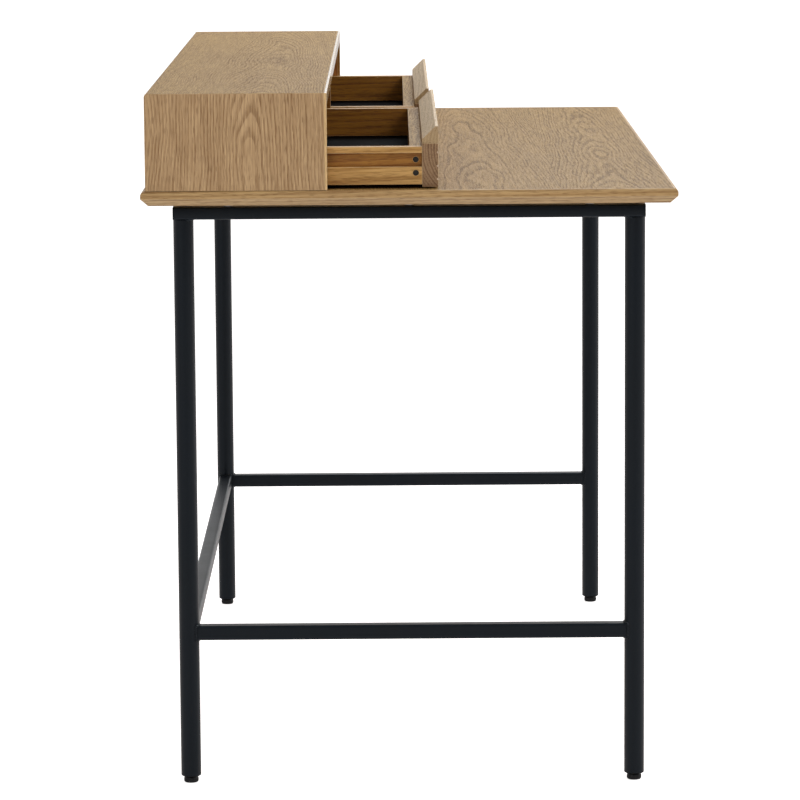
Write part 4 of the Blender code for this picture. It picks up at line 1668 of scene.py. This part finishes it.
@dataclass
class LevellingFeet:
    """The nylon plugs in the leg ends and the feet that screw into them."""

    shop: Workshop
    ribs: bpy.types.NodeTree
    plug_radius: float = 0.0107
    flange_radius: float = 0.0122
    flange_taper: float = 0.0026
    stud_radius: float = 0.004
    stud_clearance: float = 0.0003
    foot_edge: float = 0.0016
    rib_count: int = 30
    rib: Place = (0.0005, 0.0008, 0.0030)
    sides: int = 48

    def build(self) -> None:
        """Make a plug and a foot for each leg."""
        for row in ("front", "rear"):
            for end in ("left", "right"):
                corner = f"{row}_{end}"
                self._plug(corner)
                self._foot(corner)

    def _plug(self, corner: str) -> None:
        """Make the plug, with a flange that tapers from the tube to the foot."""
        node = f"leg_insert_{corner}"
        low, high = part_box(node)
        middle = (low + high) / 2
        leg_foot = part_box(f"leg_{corner}")[0].z
        hole = self.stud_radius + self.stud_clearance
        profile = [
            (hole, high.z),
            (self.plug_radius, high.z),
            (self.plug_radius, leg_foot - self.stud_clearance),
            (self.flange_radius, leg_foot - self.stud_clearance),
            (self.flange_radius - self.flange_taper, low.z),
            (hole, low.z),
        ]
        mesh = to_mesh(turned(profile, self.sides, (middle.x, middle.y)), node)
        self.shop.fitter.fit(f"{node}_plug", mesh, self.shop.nylon, "frame", [node], "inserts", smooth=True)

    def _foot(self, corner: str) -> None:
        """Make the foot: a disc with a rounded rim and grip ribs, on a stud."""
        node = f"foot_{corner}"
        low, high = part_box(node)
        middle = (low + high) / 2
        radius = (high.x - low.x) / 2 - self.rib[0] / 2
        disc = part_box(f"leg_insert_{corner}")[0].z - self.stud_clearance
        edge = self.foot_edge
        rim = arc((radius - edge, disc - edge), edge, 90, 0, 4) + arc((radius - edge, edge), edge, 0, -90, 4)
        profile = [(0.0, high.z), (self.stud_radius, high.z), (self.stud_radius, disc), *rim, (0.0, 0.0)]
        base = to_mesh(turned(profile, self.sides, (middle.x, middle.y)), node)
        values = {
            "Centre": (middle.x, middle.y, disc / 2),
            "Count": self.rib_count,
            "Radius": radius,
            "Rib": self.rib,
            "Finish": self.shop.nylon,
        }
        mesh = through_nodes(f"{node}_disc", base, self.ribs, values)
        body = f"levelling_foot_{corner}"
        self.shop.fitter.fit(f"{node}_disc", mesh, self.shop.nylon, body, [node], "feet", smooth=True)


@dataclass
class Studio:
    """A pale floor, soft lights and the camera."""

    floor_size: float = 120.0
    floor_drop: float = 0.0002
    floor_colour: Place = (0.82, 0.77, 0.75)
    floor_roughness: float = 0.9
    floor_glow: Point = (0.20, 0.80)
    backdrop_from: float = -0.95
    backdrop_to: float = 0.8
    behind: float = 0.03
    ahead: float = 0.90
    camera_place: Place = (-5.5322, 0.0183, 1.2232)
    camera_yaw: float = -0.00111
    camera_pitch: float = -0.14821
    camera_roll: float = -0.00672
    focal_length: float = 182.70
    sensor: float = 36.0
    sight: float = 100.0
    aim: Place = (0.0, 0.0, 0.6)

    def build(self) -> None:
        """Set up everything that isn't the desk."""
        bpy.context.scene.view_settings.view_transform = "Standard"
        self._world()
        self._floor()
        self._light("key", (-3.0, -3.2, 4.2), (3.0, 3.0), 126.0, (1.0, 0.985, 0.96))
        self._light("fill", (-4.5, 2.6, 2.6), (2.6, 2.6), 46.0, (0.97, 0.985, 1.0))
        self._light("front", (1.5, -4.5, 2.2), (3.2, 2.2), 60.0, (1.0, 1.0, 1.0))
        self._light("far", (1.6, -0.4, 2.1), (1.0, 1.0), 16.0, (0.90, 0.95, 1.0))
        self._camera()

    def _world(self) -> None:
        """Surround the desk with white, whose light comes most from the backdrop beyond the desk."""
        world = bpy.data.worlds.new("studio")
        world.use_nodes = True
        bpy.context.scene.world = world
        tree = Tree(world.node_tree)
        path = tree.add("ShaderNodeLightPath")
        way = tree.add("ShaderNodeTexCoord").outputs["Generated"]
        ahead = tree.add("ShaderNodeSeparateXYZ", {0: way}).outputs["X"]
        glow = {"Value": ahead, "From Min": self.backdrop_from, "From Max": self.backdrop_to}
        glow |= {"To Min": self.behind, "To Max": self.ahead}
        light = tree.add("ShaderNodeMapRange", glow).outputs[0]
        shown = {"Value": path.outputs["Is Camera Ray"], "To Min": light, "To Max": 1.0}
        strength = tree.add("ShaderNodeMapRange", shown).outputs[0]
        backdrop = world.node_tree.nodes["Background"]
        backdrop.inputs["Color"].default_value = (1.0, 1.0, 1.0, 1.0)
        tree.feed(backdrop.inputs["Strength"], strength)

    def _floor(self) -> None:
        """Lay the floor."""
        half = self.floor_size / 2
        bm = bmesh.new()
        bmesh.ops.create_grid(bm, x_segments=1, y_segments=1, size=half)
        bmesh.ops.translate(bm, vec=(0.0, 0.0, -self.floor_drop), verts=bm.verts)
        mesh = bpy.data.meshes.new("floor")
        bm.to_mesh(mesh)
        bm.free()
        floor = loose_object("floor", mesh)
        material, tree, shader = start_material("floor")
        shader.inputs["Base Color"].default_value = (*self.floor_colour, 1.0)
        shader.inputs["Roughness"].default_value = self.floor_roughness
        path = tree.add("ShaderNodeLightPath")
        least, most = self.floor_glow
        glow = {"Value": path.outputs["Is Camera Ray"], "To Min": least, "To Max": most}
        tree.feed(shader.inputs["Emission Strength"], tree.add("ShaderNodeMapRange", glow).outputs[0])
        shader.inputs["Emission Color"].default_value = (1.0, 1.0, 1.0, 1.0)
        mesh.materials.append(material)

    def _light(self, name: str, place: Place, size: Point, power: float, colour: Colour) -> None:
        """Hang a soft light that faces the desk."""
        lamp = bpy.data.lights.new(name, "AREA")
        lamp.shape = "RECTANGLE"
        lamp.size, lamp.size_y = size
        lamp.energy = power
        lamp.color = colour
        item = bpy.data.objects.new(name, lamp)
        item.location = place
        way = Vector(self.aim) - Vector(place)
        item.rotation_euler = way.to_track_quat("-Z", "Y").to_euler()
        bpy.context.scene.collection.objects.link(item)

    def _camera(self) -> None:
        """Set up the camera, which looks along the desk from its left end."""
        yaw, pitch, roll = self.camera_yaw, self.camera_pitch, self.camera_roll
        forward = Vector((math.cos(pitch) * math.cos(yaw), math.cos(pitch) * math.sin(yaw), math.sin(pitch)))
        right = Vector((math.sin(yaw), -math.cos(yaw), 0.0))
        up = right.cross(forward)
        across = math.cos(roll) * right + math.sin(roll) * up
        upright = -math.sin(roll) * right + math.cos(roll) * up
        data = bpy.data.cameras.new("camera")
        data.lens = self.focal_length
        data.sensor_width = self.sensor
        data.clip_end = self.sight
        item = bpy.data.objects.new("camera", data)
        turn = Matrix((across, upright, -forward)).transposed()
        item.matrix_world = Matrix.Translation(self.camera_place) @ turn.to_4x4()
        bpy.context.scene.collection.objects.link(item)
        bpy.context.scene.camera = item


def main() -> None:
    """Build the studio and every sub-assembly of the desk, in order."""
    logging.basicConfig(level=logging.INFO, format="%(name)s: %(message)s")
    Studio().build()
    shop = Workshop()
    Desktop(shop).build()
    Cabinet(shop).build()
    DrawerRunners(shop).build()
    grooves, screws = grooved_board_group(), screw_pair_group()
    for label in ("left", "right"):
        Drawer(shop, label, grooves, screws).build()
    SteelFrame(shop, weld_bead_group(), spacer_grid_group()).build()
    LevellingFeet(shop, grip_ribs_group()).build()
    log.info("%d pieces and nodes dressed", shop.fitter.count)


if __name__ == "__main__":
    main()
